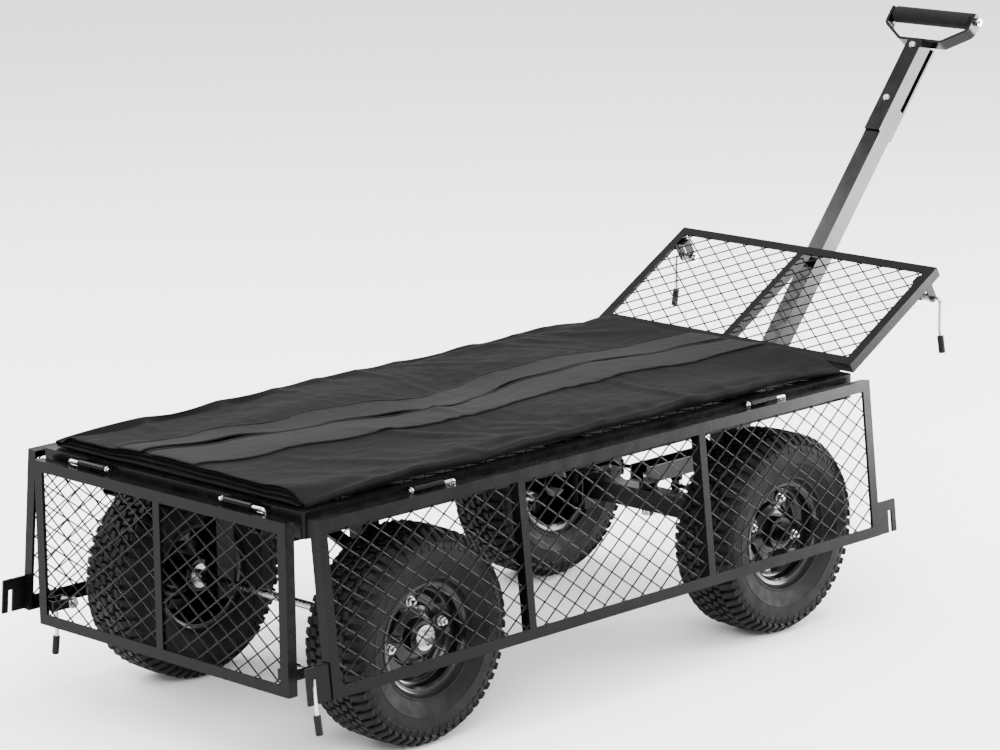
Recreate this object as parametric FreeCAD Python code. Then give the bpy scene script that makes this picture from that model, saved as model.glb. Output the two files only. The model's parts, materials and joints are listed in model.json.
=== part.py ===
"""Steel garden cart with four fold-down mesh sides, a steered front axle and a hinged handle.

Row frame: +Z up, +Y towards the handle, +X to the cart's right. The model is laid out about the
deck's centre with the ground at Z = 0, then moved along Y so that the origin is the bottom centre
of the whole cart's box. All sizes are in millimetres and all angles in degrees.
"""
import FreeCAD
import Part
import math
import os

from FreeCAD import Vector

# ---- deck -------------------------------------------------------------------------------------
DECK_LENGTH = 1401.0
DECK_WIDTH = 677.0
DECK_TOP_Z = 461.7
RAIL_HEIGHT = 45.4
RAIL_FLANGE = 25.0
RAIL_WALL = 2.5
RAIL_CORNER_RADIUS = 9.0
EDGE_MATCH = 0.1
CROSS_MEMBER_SIZE = 25.0
CROSS_MEMBER_Y = (-467.0, 0.0, 467.0)
LONG_BEAM_X = 190.0
LONG_BEAM_WIDTH = 33.0
LONG_BEAM_HEIGHT = 36.0
TUBE_WALL = 3.0

# ---- wire mesh --------------------------------------------------------------------------------
DIAMOND_WIDTH = 49.07
DIAMOND_HEIGHT = 35.84
WIRE = 3.0

# ---- folding panels ---------------------------------------------------------------------------
PANEL_HEIGHT = 297.9
END_PANEL_HALF_WIDTH = 325.5
SIDE_PANEL_LENGTH = 1410.0
ANGLE_LEG = 20.0
ANGLE_WALL = 2.5
BAR_WIDTH = 17.0
SIDE_BAR_Y = 232.0
SIDE_TILT = 5.9
RAISED_GAP = 0.3
END_HINGE_REACH = 11.0
END_HINGE_DROP = 7.2
END_FACE_OFFSET = 20.1
SIDE_HINGE_REACH = 11.8
SIDE_HINGE_DROP = 4.7
SIDE_FACE_OFFSET = 24.0

# ---- hinges -----------------------------------------------------------------------------------
PIN_RADIUS = 3.5
RUNNING_GAP = 0.05
SLEEVE_RADIUS = 6.0
SLEEVE_LENGTH = 34.0
SLEEVE_END_GAP = 0.4
SLEEVE_TAB_INSET = 2.0
PIN_OVERHANG = 28.0
PIN_CLIP_OVERHANG = 12.0
PIN_HOOK_BEND = 6.0
PIN_HOOK_INWARD = 6.0
PIN_HOOK_DROP = 11.0
PIN_HOOK_RETURN = 22.0
CLIP_RING_RADIUS = 4.6
CLIP_WIRE_RADIUS = 1.3
RING_WIRE_RADIUS = 1.0
END_HINGE_X = 190.0
SIDE_HINGE_Y = 428.0

# ---- latches ----------------------------------------------------------------------------------
LATCH_EDGE_DISTANCE = 35.0
LATCH_STANDOFF = 48.0
LATCH_ROD_RADIUS = 3.5
LATCH_EAR_WALL = 3.0
LATCH_EAR_SPACING = 27.0
LATCH_EAR_RADIUS = 9.0
LATCH_BEND_REACH = 14.0
LATCH_BEND_RADIUS = 7.7
LATCH_ROOT_OVERLAP = 14.0
LATCH_NUT_HEIGHT = 6.0
LATCH_WASHER_THICKNESS = 2.0
LATCH_PLAY = 1.0
LATCH_KNEE_SHARE = 0.6
LATCH_TOE_OUT = 6.0
LATCH_TOE_RISE = 3.0
LATCH_GRIP_FLOOR = 4.0
LATCH_LEVER_LENGTH = 104.0
LATCH_GRIP_LENGTH = 34.0
LATCH_GRIP_RADIUS = 6.5
LATCH_SPRING_RADIUS = 6.0
HOOK_PLATE_REACH = 52.0
HOOK_PLATE_HEIGHT = 62.0
HOOK_PLATE_WALL = 4.0
HOOK_SLOT_WIDTH = 10.0
HOOK_SLOT_OFFSET = 35.0
HOOK_SLOT_DEPTH = 42.0

# ---- wheels -----------------------------------------------------------------------------------
TYRE_RADIUS = 190.0
TYRE_WIDTH = 134.0
TYRE_SHOULDER = 24.0
TYRE_WALL = 9.0
TYRE_TOE = 1.0
TYRE_FLARE = 9.0
TYRE_FLARE_HEIGHT = 10.0
SIDEWALL_INSET = 4.0
SIDEWALL_HEIGHT = 22.0
BULGE_RISE = 4.0
SHOULDER_INSET = 2.0
CROWN_EDGE_INSET = 8.0
RIM_RADIUS = 94.0
RIM_WIDTH = 92.0
RIM_LIP = 7.0
RIM_WALL = 3.0
DISC_SETBACK = 20.0
DISC_DISH = 8.0
HUB_FLANGE = 8.0
DISH_START = 20.0
DISH_END = 14.0
DISH_BEVEL = 2.0
WELD_OVERLAP = 1.0
HUB_BORE_GAP = 3.0
HUB_RADIUS = 31.0
HUB_LENGTH = 88.0
BEARING_LENGTH = 15.0
BEARING_RADIUS = 20.0
WHEEL_MID_X = 290.0
REAR_AXLE_Y = -426.7
FRONT_AXLE_Y = 501.8
AXLE_RADIUS = 8.0
WASHER_RADIUS = 22.0
WASHER_THICKNESS = 3.0
HUB_END_GAP = 0.3
NUT_RADIUS = 13.0
NUT_LENGTH = 10.0
THREAD_SHOWN = 3.0
SPACER_RADIUS = 12.0
LEG_DEPTH = 40.0
LEG_BELOW_AXLE = 28.0
BRACE_WIDTH = 30.0
BRACE_THICKNESS = 6.0
BRACE_DROP = 91.0
BRACE_RUN = 111.0

# ---- front axle and steering ------------------------------------------------------------------
KINGPIN_X = 190.0
KINGPIN_RADIUS = 7.0
KNUCKLE_RADIUS = 15.0
YOKE_GAP = 64.0
YOKE_WALL = 4.0
YOKE_REACH = 22.0
FRONT_BEAM_HALF = 150.0
FRONT_BEAM_SIZE = 40.0
FRONT_BEAM_BELOW_AXLE = 10.0
PIVOT_POST_RADIUS = 18.0
KINGPIN_HEAD_HEIGHT = 7.0
HEAD_OVERHANG = 4.0
TONGUE_NUT_HEIGHT = 12.0
TONGUE_HEAD_HEIGHT = 8.0
TONGUE_HEAD_OVERHANG = 5.0
SPINDLE_SETBACK = 3.0
FACE_GAP = 0.3
ARM_LENGTH = 80.0
ARM_THICKNESS = 8.0
ARM_BOTTOM_ABOVE_AXLE = 24.0
EYE_RADIUS = 12.0
STEER_BOLT_RADIUS = 6.0
STEER_BOLT_TAIL = 5.0
STEER_NUT_HEIGHT = 8.0
LOOP_CLEARANCE = 0.4
TIE_ROD_RADIUS = 4.0
TIE_ROD_OVERLAP = 1.5
TONGUE_ABOVE_AXLE = 46.0
TONGUE_WALL = 4.0
TONGUE_BACK = 27.0
TONGUE_FLOOR_FRONT = 33.0
TONGUE_CHEEK_HEIGHT = 32.0
TONGUE_BOLT_RADIUS = 8.0

# ---- handle -----------------------------------------------------------------------------------
HANDLE_PIVOT_Y = 714.0
HANDLE_PIVOT_Z = 250.0
HANDLE_ANGLE = 50.6
HANDLE_TUBE = 38.0
HANDLE_TUBE_WALL = 2.5
HANDLE_SIDE_GAP = 0.5
HANDLE_BOLT_RADIUS = 6.0
PIVOT_BOLT_TAIL = 8.0
PIVOT_HEAD_HEIGHT = 6.0
SHAFT_LENGTH = 804.0
STRAP_START = 739.0
STRAP_END = 957.0
STRAP_THICKNESS = 5.0
HITCH_PIN_AT = (813.0, 940.0)
HITCH_PIN_RADIUS = 5.0
HITCH_HEAD_RADIUS = 7.5
HITCH_HEAD_HEIGHT = 6.0
HITCH_TAIL = 15.0
HITCH_RING_RADIUS = 10.0
STEM_WIDTH = 28.0
YOKE_STRIP_WIDTH = 26.0
YOKE_STRIP_THICKNESS = 6.0
YOKE_BASE_HALF = 52.0
YOKE_ARM_HALF = 104.0
YOKE_BEND_RADIUS = 16.0
YOKE_KNEE_SHARE = 0.55
YOKE_ARM_TOP = 11.9
STEM_GAP = 2.0
GRIP_AT = 1021.0
GRIP_RADIUS = 17.0
GRIP_LENGTH = 190.0
GRIP_BOLT_RADIUS = 4.0
GRIP_NUT_RADIUS = 8.0
GRIP_NUT_LENGTH = 7.0
GRIP_BOLT_TAIL = 4.0
PANEL_ON_HANDLE_GAP = 0.4
STEER_LIMIT = 7.0

# ---- liner ------------------------------------------------------------------------------------
LINER_HALF_WIDTH = 324.0
LINER_HALF_LENGTH = 688.0
LINER_HEIGHT = 38.0
LINER_GAP = 0.3

# ---- places that follow from the sizes --------------------------------------------------------
END_HINGE_Y = DECK_LENGTH / 2 + END_HINGE_REACH
END_HINGE_Z = DECK_TOP_Z - END_HINGE_DROP
SIDE_HINGE_X = DECK_WIDTH / 2 + SIDE_HINGE_REACH
SIDE_HINGE_Z = DECK_TOP_Z - SIDE_HINGE_DROP
RAIL_BOTTOM_Z = DECK_TOP_Z - RAIL_HEIGHT
FLOOR_TOP_Z = DECK_TOP_Z - RAIL_WALL
CROSS_TOP_Z = FLOOR_TOP_Z - WIRE
LONG_BEAM_TOP_Z = CROSS_TOP_Z - CROSS_MEMBER_SIZE
LONG_BEAM_BOTTOM_Z = LONG_BEAM_TOP_Z - LONG_BEAM_HEIGHT
AXLE_Z = TYRE_RADIUS
FRONT_BEAM_BOTTOM_Z = AXLE_Z - FRONT_BEAM_BELOW_AXLE
HUB_OUTER_X = WHEEL_MID_X + HUB_LENGTH / 2
HUB_INNER_X = WHEEL_MID_X - HUB_LENGTH / 2
AXLE_END_X = HUB_OUTER_X + HUB_END_GAP + WASHER_THICKNESS + NUT_LENGTH + THREAD_SHOWN
SPINDLE_START_X = KINGPIN_X + KINGPIN_RADIUS + SPINDLE_SETBACK
YOKE_HALF_HEIGHT = YOKE_GAP / 2
TONGUE_FLOOR_Z = AXLE_Z + TONGUE_ABOVE_AXLE
TONGUE_INNER_HALF = HANDLE_TUBE / 2 + HANDLE_SIDE_GAP
ARM_BOTTOM_Z = AXLE_Z + ARM_BOTTOM_ABOVE_AXLE
ARM_TOP_Z = ARM_BOTTOM_Z + ARM_THICKNESS
STEER_BOLT_Y = FRONT_AXLE_Y + ARM_LENGTH
LATCH_LOCAL_Z = -(END_HINGE_DROP + RAISED_GAP + PANEL_HEIGHT) + LATCH_EDGE_DISTANCE
LATCH_LOCAL_Y = LATCH_STANDOFF - END_FACE_OFFSET
LATCH_BEND_X = END_PANEL_HALF_WIDTH + LATCH_BEND_REACH


def steering_lift():
    """How much nearer the handle comes to the front panel's free edge at full steer."""
    radius = END_HINGE_Y + PANEL_HEIGHT - FRONT_AXLE_Y
    steer = math.radians(STEER_LIMIT)
    backwards = radius * (1 - math.cos(steer)) + HANDLE_TUBE / 2 * math.sin(steer)
    return backwards * math.sin(math.radians(HANDLE_ANGLE))


def front_panel_angle():
    """Angle above level of the front panel that leans over the handle, clear of it at full steer."""
    normal = Vector(0, -math.sin(math.radians(HANDLE_ANGLE)), math.cos(math.radians(HANDLE_ANGLE)))
    hinge = Vector(0, END_HINGE_Y - HANDLE_PIVOT_Y, END_HINGE_Z - HANDLE_PIVOT_Z)
    reach = END_HINGE_DROP + RAISED_GAP + PANEL_HEIGHT
    inner = END_FACE_OFFSET - ANGLE_LEG
    wanted = HANDLE_TUBE / 2 + PANEL_ON_HANDLE_GAP + steering_lift() - hinge.dot(normal)
    turn = math.degrees(math.asin(wanted / math.hypot(reach, inner)))
    return HANDLE_ANGLE + turn - math.degrees(math.atan2(inner, reach))


# ---- basic solids -----------------------------------------------------------------------------
def block(low, high):
    """Box between two corners."""
    size = Vector(*high) - Vector(*low)
    return Part.makeBox(size.x, size.y, size.z, Vector(*low))


def rod(start, end, radius):
    """Round bar between two points."""
    start, end = Vector(*start), Vector(*end)
    return Part.makeCylinder(radius, (end - start).Length, start, end - start)


def tube(start, end, outer, inner):
    """Round tube between two points."""
    return rod(start, end, outer).cut(rod(start, end, inner))


def fused(shapes):
    """One solid from touching or overlapping shapes."""
    return shapes[0].multiFuse(shapes[1:]).removeSplitter()


def group(shapes):
    """Separate solids kept together in one node."""
    return Part.makeCompound([solid for shape in shapes for solid in shape.Solids])


def prism(points, direction):
    """Straight extrusion of a flat polygon."""
    outline = Part.makePolygon([Vector(*p) for p in points] + [Vector(*points[0])])
    return Part.Face(outline).extrude(Vector(*direction))


def bent_path(points, radius):
    """Wire of straight runs joined by arcs that touch them."""
    points = [Vector(*p) for p in points]
    edges = []
    start = points[0]
    for before, corner, after in zip(points, points[1:], points[2:]):
        back = (before - corner).normalize()
        ahead = (after - corner).normalize()
        half = back.getAngle(ahead) / 2
        setback = radius / math.tan(half)
        middle = (back + ahead).normalize() * (radius / math.sin(half))
        centre = corner + middle
        first = corner + back * setback
        last = corner + ahead * setback
        bulge = centre - middle.normalize() * radius
        edges.append(Part.LineSegment(start, first).toShape())
        edges.append(Part.Arc(first, bulge, last).toShape())
        start = last
    edges.append(Part.LineSegment(start, points[-1]).toShape())
    return Part.Wire(edges)


def bent_rod(points, radius, bend):
    """Round wire bent along a path."""
    path = bent_path(points, bend)
    along = Vector(*points[1]) - Vector(*points[0])
    profile = Part.Wire(Part.Circle(Vector(*points[0]), along, radius).toShape())
    return Part.Solid(path.makePipeShell([profile], True, False))


def mirrored_x(shape):
    """Copy on the other side of the cart's middle plane."""
    return shape.mirror(Vector(0, 0, 0), Vector(1, 0, 0))


def both_sides(shape):
    """A shape and its mirror image across X = 0."""
    return [shape, mirrored_x(shape)]


# ---- wire mesh --------------------------------------------------------------------------------
def mesh_sheet(low_x, high_x, low_z, high_z):
    """Flat diamond mesh in the XZ plane, one wire thick along +Y, with a diamond centred on the origin."""
    hole_scale = 1 - WIRE * math.hypot(DIAMOND_WIDTH, DIAMOND_HEIGHT) / (DIAMOND_WIDTH * DIAMOND_HEIGHT)
    half_w = DIAMOND_WIDTH / 2 * hole_scale
    half_h = DIAMOND_HEIGHT / 2 * hole_scale
    inside = (low_x + WIRE, high_x - WIRE, low_z + WIRE, high_z - WIRE)
    rim = [Vector(x, 0, z) for x, z in ((low_x, low_z), (high_x, low_z), (high_x, high_z), (low_x, high_z))]
    wires = [Part.makePolygon(rim + rim[:1])]
    for row in range(math.floor(2 * low_z / DIAMOND_HEIGHT), math.ceil(2 * high_z / DIAMOND_HEIGHT) + 1):
        for column in range(math.floor(2 * low_x / DIAMOND_WIDTH), math.ceil(2 * high_x / DIAMOND_WIDTH) + 1):
            if (row + column) % 2:
                continue
            x, z = column * DIAMOND_WIDTH / 2, row * DIAMOND_HEIGHT / 2
            corners = [(x - half_w, 0, z), (x, 0, z - half_h), (x + half_w, 0, z), (x, 0, z + half_h)]
            outline = clipped(corners, inside)
            if outline:
                wires.append(Part.makePolygon(outline + outline[:1]))
    sheet = Part.makeFace(Part.makeCompound(wires), "Part::FaceMakerBullseye")
    return sheet.extrude(Vector(0, WIRE, 0)).Solids[0]


def clipped(corners, limits):
    """Part of a polygon inside an upright rectangle, or nothing when little of it is left."""
    low_x, high_x, low_z, high_z = limits
    polygon = [Vector(*corner) for corner in corners]
    for limit, pick in ((high_x, lambda p: p.x), (-low_x, lambda p: -p.x),
                        (high_z, lambda p: p.z), (-low_z, lambda p: -p.z)):
        kept = []
        for here, following in zip(polygon, polygon[1:] + polygon[:1]):
            inside, next_inside = pick(here) < limit, pick(following) < limit
            if inside:
                kept.append(here)
            if inside != next_inside:
                share = (limit - pick(here)) / (pick(following) - pick(here))
                kept.append(here + (following - here) * share)
        polygon = kept
    if len(polygon) < 3:
        return []
    wide = max(p.x for p in polygon) - min(p.x for p in polygon)
    tall = max(p.z for p in polygon) - min(p.z for p in polygon)
    return polygon if min(wide, tall) > WIRE else []


# ---- deck -------------------------------------------------------------------------------------
def upright_edges(shape, height):
    """Vertical edges of a given height."""
    return [edge for edge in shape.Edges if abs(edge.BoundBox.ZLength - height) < EDGE_MATCH]


def deck_frame():
    """Ring of inward-facing channel with rounded corners."""
    half_w, half_l = DECK_WIDTH / 2, DECK_LENGTH / 2
    outer = block((-half_w, -half_l, RAIL_BOTTOM_Z), (half_w, half_l, DECK_TOP_Z))
    outer = outer.makeFillet(RAIL_CORNER_RADIUS, upright_edges(outer, RAIL_HEIGHT))
    channel = block((-half_w + RAIL_WALL, -half_l + RAIL_WALL, RAIL_BOTTOM_Z + RAIL_WALL),
                    (half_w - RAIL_WALL, half_l - RAIL_WALL, FLOOR_TOP_Z))
    inner_height = FLOOR_TOP_Z - RAIL_BOTTOM_Z - RAIL_WALL
    channel = channel.makeFillet(RAIL_CORNER_RADIUS - RAIL_WALL, upright_edges(channel, inner_height))
    well = block((-half_w + RAIL_FLANGE, -half_l + RAIL_FLANGE, RAIL_BOTTOM_Z),
                 (half_w - RAIL_FLANGE, half_l - RAIL_FLANGE, DECK_TOP_Z))
    return outer.cut(channel).cut(well)


def deck_floor():
    """Mesh floor welded under the rails' top flanges."""
    half_l = DECK_LENGTH / 2 - RAIL_WALL - RAIL_CORNER_RADIUS
    half_w = DECK_WIDTH / 2 - RAIL_WALL - RAIL_CORNER_RADIUS
    sheet = mesh_sheet(-half_l, half_l, -half_w, half_w)
    sheet.rotate(Vector(0, 0, 0), Vector(1, 0, 0), 90)
    sheet.rotate(Vector(0, 0, 0), Vector(0, 0, 1), 90)
    sheet.translate(Vector(0, 0, FLOOR_TOP_Z - sheet.BoundBox.ZMax))
    return sheet


def square_tube_y(x, start, end, width, bottom, top):
    """Hollow rectangular tube along Y."""
    outer = block((x - width / 2, start, bottom), (x + width / 2, end, top))
    bore = block((x - width / 2 + TUBE_WALL, start, bottom + TUBE_WALL),
                 (x + width / 2 - TUBE_WALL, end, top - TUBE_WALL))
    return outer.cut(bore)


def cross_members():
    """Square tubes across the deck under the mesh floor."""
    half = DECK_WIDTH / 2 - RAIL_WALL
    side = CROSS_MEMBER_SIZE
    tubes = []
    for y in CROSS_MEMBER_Y:
        outer = block((-half, y - side / 2, CROSS_TOP_Z - side), (half, y + side / 2, CROSS_TOP_Z))
        bore = block((-half, y - side / 2 + TUBE_WALL, CROSS_TOP_Z - side + TUBE_WALL),
                     (half, y + side / 2 - TUBE_WALL, CROSS_TOP_Z - TUBE_WALL))
        tubes.append(outer.cut(bore))
    return group(tubes)


def long_beams():
    """Two lengthwise beams between the end rails, under the cross members."""
    end = DECK_LENGTH / 2 - RAIL_FLANGE
    beam = square_tube_y(LONG_BEAM_X, -end, end, LONG_BEAM_WIDTH, LONG_BEAM_BOTTOM_Z, LONG_BEAM_TOP_Z)
    return group(both_sides(beam))


def upright_leg(y, bottom, top):
    """Hollow post from an axle up to a lengthwise beam."""
    half_w, half_d = LONG_BEAM_WIDTH / 2, LEG_DEPTH / 2
    outer = block((LONG_BEAM_X - half_w, y - half_d, bottom), (LONG_BEAM_X + half_w, y + half_d, top))
    bore = block((LONG_BEAM_X - half_w + TUBE_WALL, y - half_d + TUBE_WALL, bottom),
                 (LONG_BEAM_X + half_w - TUBE_WALL, y + half_d - TUBE_WALL, top))
    return outer.cut(bore)


def slanted_brace(y, side):
    """Flat brace from a leg's outer face up to the beam; side is -1 towards the rear."""
    face = y + side * LEG_DEPTH / 2
    top = LONG_BEAM_BOTTOM_Z
    points = [(face, top - BRACE_DROP), (face + side * BRACE_RUN, top),
              (face + side * BRACE_RUN * (1 - BRACE_WIDTH / BRACE_DROP), top),
              (face, top - BRACE_DROP + BRACE_WIDTH)]
    x = LONG_BEAM_X - BRACE_THICKNESS / 2
    return prism([(x, py, pz) for py, pz in points], (BRACE_THICKNESS, 0, 0))


def rear_axle_brackets():
    """Two braced legs that hold the rear axle."""
    leg = upright_leg(REAR_AXLE_Y, AXLE_Z - LEG_BELOW_AXLE, LONG_BEAM_BOTTOM_Z)
    bracket = fused([leg, slanted_brace(REAR_AXLE_Y, -1)])
    hole = rod((0, REAR_AXLE_Y, AXLE_Z), (DECK_WIDTH, REAR_AXLE_Y, AXLE_Z), AXLE_RADIUS + RUNNING_GAP)
    return group(both_sides(bracket.cut(hole)))


def rear_axle():
    """Solid rear axle through both legs and both wheels."""
    return rod((-AXLE_END_X, REAR_AXLE_Y, AXLE_Z), (AXLE_END_X, REAR_AXLE_Y, AXLE_Z), AXLE_RADIUS)


def hex_nut(x, y, z):
    """Hexagon nut on an axle along X, starting at x."""
    turns = [math.radians(60 * k) for k in range(6)]
    corners = [(x, y + NUT_RADIUS * math.cos(turn), z + NUT_RADIUS * math.sin(turn)) for turn in turns]
    return prism(corners, (NUT_LENGTH, 0, 0))


def axle_stack(y, spacer_start):
    """Spacer, washers and nut on one end of an axle on the +X side."""
    bore = rod((0, y, AXLE_Z), (DECK_WIDTH, y, AXLE_Z), AXLE_RADIUS + RUNNING_GAP)
    inner_washer = HUB_INNER_X - HUB_END_GAP - WASHER_THICKNESS
    outer_washer = HUB_OUTER_X + HUB_END_GAP
    nut = outer_washer + WASHER_THICKNESS
    parts = [rod((spacer_start, y, AXLE_Z), (inner_washer, y, AXLE_Z), SPACER_RADIUS),
             rod((inner_washer, y, AXLE_Z), (inner_washer + WASHER_THICKNESS, y, AXLE_Z), WASHER_RADIUS),
             rod((outer_washer, y, AXLE_Z), (nut, y, AXLE_Z), WASHER_RADIUS),
             hex_nut(nut, y, AXLE_Z)]
    return [part.cut(bore) for part in parts]


def rear_axle_fasteners():
    """Spacers, washers and nuts at both ends of the rear axle."""
    stack = axle_stack(REAR_AXLE_Y, LONG_BEAM_X + LONG_BEAM_WIDTH / 2)
    return group([part for one in stack for part in both_sides(one)])


# ---- front axle -------------------------------------------------------------------------------
def front_axle_beam():
    """Cross beam with a C-shaped yoke and a braced post at each end."""
    y = FRONT_AXLE_Y
    half = FRONT_BEAM_SIZE / 2
    beam_low = FRONT_BEAM_BOTTOM_Z
    beam_high = FRONT_BEAM_BOTTOM_Z + FRONT_BEAM_SIZE
    beam = block((-FRONT_BEAM_HALF, y - half, beam_low), (FRONT_BEAM_HALF, y + half, beam_high))
    bore = block((-FRONT_BEAM_HALF, y - half + TUBE_WALL, beam_low + TUBE_WALL),
                 (FRONT_BEAM_HALF, y + half - TUBE_WALL, beam_high - TUBE_WALL))
    parts = [beam.cut(bore)]
    low, high = AXLE_Z - YOKE_HALF_HEIGHT, AXLE_Z + YOKE_HALF_HEIGHT
    for z in (low - YOKE_WALL, high):
        plate = block((FRONT_BEAM_HALF, y - half, z), (KINGPIN_X + YOKE_REACH, y + half, z + YOKE_WALL))
        parts += both_sides(plate)
    back = block((FRONT_BEAM_HALF, y - half, low - YOKE_WALL),
                 (FRONT_BEAM_HALF + YOKE_WALL, y + half, high + YOKE_WALL))
    post = upright_leg(y, high + YOKE_WALL, LONG_BEAM_BOTTOM_Z)
    parts += both_sides(back) + both_sides(post) + both_sides(slanted_brace(y, -1))
    parts.append(rod((0, y, beam_low + half), (0, y, TONGUE_FLOOR_Z - FACE_GAP), PIVOT_POST_RADIUS))
    holes = [rod((0, y, 0), (0, y, DECK_TOP_Z), TONGUE_BOLT_RADIUS + RUNNING_GAP)]
    pin_hole = rod((KINGPIN_X, y, 0), (KINGPIN_X, y, high + 2 * YOKE_WALL), KINGPIN_RADIUS + RUNNING_GAP)
    holes += both_sides(pin_hole)
    return fused(parts).cut(Part.makeCompound(holes))


def steering_pins():
    """Kingpins and the bolt that the drawbar turns on."""
    y = FRONT_AXLE_Y
    low = AXLE_Z - YOKE_HALF_HEIGHT - YOKE_WALL
    high = AXLE_Z + YOKE_HALF_HEIGHT + YOKE_WALL
    pin = rod((KINGPIN_X, y, low - KINGPIN_HEAD_HEIGHT), (KINGPIN_X, y, high), KINGPIN_RADIUS)
    head = rod((KINGPIN_X, y, low - KINGPIN_HEAD_HEIGHT), (KINGPIN_X, y, low), KINGPIN_RADIUS + HEAD_OVERHANG)
    nut_bottom = FRONT_BEAM_BOTTOM_Z - TONGUE_NUT_HEIGHT
    bolt_top = TONGUE_FLOOR_Z + TONGUE_WALL + TONGUE_HEAD_HEIGHT
    wide = TONGUE_BOLT_RADIUS + TONGUE_HEAD_OVERHANG
    bolt = rod((0, y, nut_bottom), (0, y, bolt_top), TONGUE_BOLT_RADIUS)
    bolt_head = rod((0, y, TONGUE_FLOOR_Z + TONGUE_WALL + FACE_GAP), (0, y, bolt_top), wide)
    bolt_nut = rod((0, y, nut_bottom), (0, y, FRONT_BEAM_BOTTOM_Z), wide)
    return group(both_sides(fused([pin, head])) + [fused([bolt, bolt_head, bolt_nut])])


def right_knuckle():
    """Steering knuckle with its spindle boss and steering arm."""
    y = FRONT_AXLE_Y
    low = AXLE_Z - YOKE_HALF_HEIGHT + FACE_GAP
    high = AXLE_Z + YOKE_HALF_HEIGHT - FACE_GAP
    barrel = rod((KINGPIN_X, y, low), (KINGPIN_X, y, high), KNUCKLE_RADIUS)
    boss_end = HUB_INNER_X - HUB_END_GAP - WASHER_THICKNESS
    boss = rod((KINGPIN_X, y, AXLE_Z), (boss_end, y, AXLE_Z), SPACER_RADIUS)
    half = EYE_RADIUS
    arm = block((KINGPIN_X - half, y, ARM_BOTTOM_Z), (KINGPIN_X + half, STEER_BOLT_Y, ARM_TOP_Z))
    eye = rod((KINGPIN_X, STEER_BOLT_Y, ARM_BOTTOM_Z), (KINGPIN_X, STEER_BOLT_Y, ARM_TOP_Z), EYE_RADIUS)
    bolt_low = ARM_BOTTOM_Z - ARM_THICKNESS - STEER_BOLT_TAIL
    bolt = rod((KINGPIN_X, STEER_BOLT_Y, bolt_low), (KINGPIN_X, STEER_BOLT_Y, ARM_TOP_Z), STEER_BOLT_RADIUS)
    solid = fused([barrel, boss, arm, eye, bolt])
    kingpin_hole = rod((KINGPIN_X, y, 0), (KINGPIN_X, y, DECK_TOP_Z), KINGPIN_RADIUS + RUNNING_GAP)
    spindle_hole = rod((SPINDLE_START_X, y, AXLE_Z), (DECK_WIDTH, y, AXLE_Z), AXLE_RADIUS)
    return solid.cut(kingpin_hole).cut(spindle_hole)


def left_knuckle():
    """The other knuckle; its bolt stands up instead of down, for the upper tie rod."""
    solid = mirrored_x(right_knuckle())
    level = ARM_BOTTOM_Z + ARM_THICKNESS / 2
    below = block((-KINGPIN_X - 2 * EYE_RADIUS, STEER_BOLT_Y - EYE_RADIUS, 0),
                  (-KINGPIN_X + 2 * EYE_RADIUS, STEER_BOLT_Y + EYE_RADIUS, ARM_BOTTOM_Z))
    bolt_top = ARM_TOP_Z + ARM_THICKNESS + STEER_BOLT_TAIL
    bolt = rod((-KINGPIN_X, STEER_BOLT_Y, level), (-KINGPIN_X, STEER_BOLT_Y, bolt_top), STEER_BOLT_RADIUS)
    return fused([solid.cut(below), bolt])


def right_spindle():
    """Stub axle with its washers and nut."""
    y = FRONT_AXLE_Y
    stub = rod((SPINDLE_START_X, y, AXLE_Z), (AXLE_END_X, y, AXLE_Z), AXLE_RADIUS)
    boss_end = HUB_INNER_X - HUB_END_GAP - WASHER_THICKNESS
    return group([stub] + axle_stack(y, boss_end - WELD_OVERLAP)[1:])


def tie_rod(side):
    """Straight tie rod from the drawbar's bolt to one knuckle arm; the left one lies above the arms."""
    level = ARM_BOTTOM_Z - ARM_THICKNESS - FACE_GAP if side > 0 else ARM_TOP_Z + FACE_GAP
    top = level + ARM_THICKNESS
    middle = (level + top) / 2
    far = side * KINGPIN_X
    y = STEER_BOLT_Y
    inner_eye = tube((0, y, level), (0, y, top), EYE_RADIUS, STEER_BOLT_RADIUS + RUNNING_GAP)
    outer_eye = tube((far, y, level), (far, y, top), EYE_RADIUS, STEER_BOLT_RADIUS + LOOP_CLEARANCE)
    near = side * (EYE_RADIUS - TIE_ROD_OVERLAP)
    bar = rod((near, y, middle), (far - near, y, middle), TIE_ROD_RADIUS)
    return fused([inner_eye, bar, outer_eye])


def drawbar():
    """Channel that steers the tie rods and carries the handle between its cheeks."""
    y = FRONT_AXLE_Y
    outer = TONGUE_INNER_HALF + TONGUE_WALL
    back = y - TONGUE_BACK
    floor = block((-outer, back, TONGUE_FLOOR_Z),
                  (outer, HANDLE_PIVOT_Y - TONGUE_FLOOR_FRONT, TONGUE_FLOOR_Z + TONGUE_WALL))
    cheek = block((TONGUE_INNER_HALF, back, TONGUE_FLOOR_Z),
                  (outer, HANDLE_PIVOT_Y, TONGUE_FLOOR_Z + TONGUE_CHEEK_HEIGHT))
    nose = rod((TONGUE_INNER_HALF, HANDLE_PIVOT_Y, HANDLE_PIVOT_Z), (outer, HANDLE_PIVOT_Y, HANDLE_PIVOT_Z),
               HANDLE_TUBE / 2)
    solid = fused([floor] + both_sides(cheek) + both_sides(nose))
    pivot_hole = rod((0, y, 0), (0, y, DECK_TOP_Z), TONGUE_BOLT_RADIUS + RUNNING_GAP)
    handle_hole = rod((-outer, HANDLE_PIVOT_Y, HANDLE_PIVOT_Z), (outer, HANDLE_PIVOT_Y, HANDLE_PIVOT_Z),
                      HANDLE_BOLT_RADIUS)
    bolt_hole = rod((0, STEER_BOLT_Y, 0), (0, STEER_BOLT_Y, DECK_TOP_Z), STEER_BOLT_RADIUS)
    return solid.cut(pivot_hole).cut(handle_hole).cut(bolt_hole)


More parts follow.
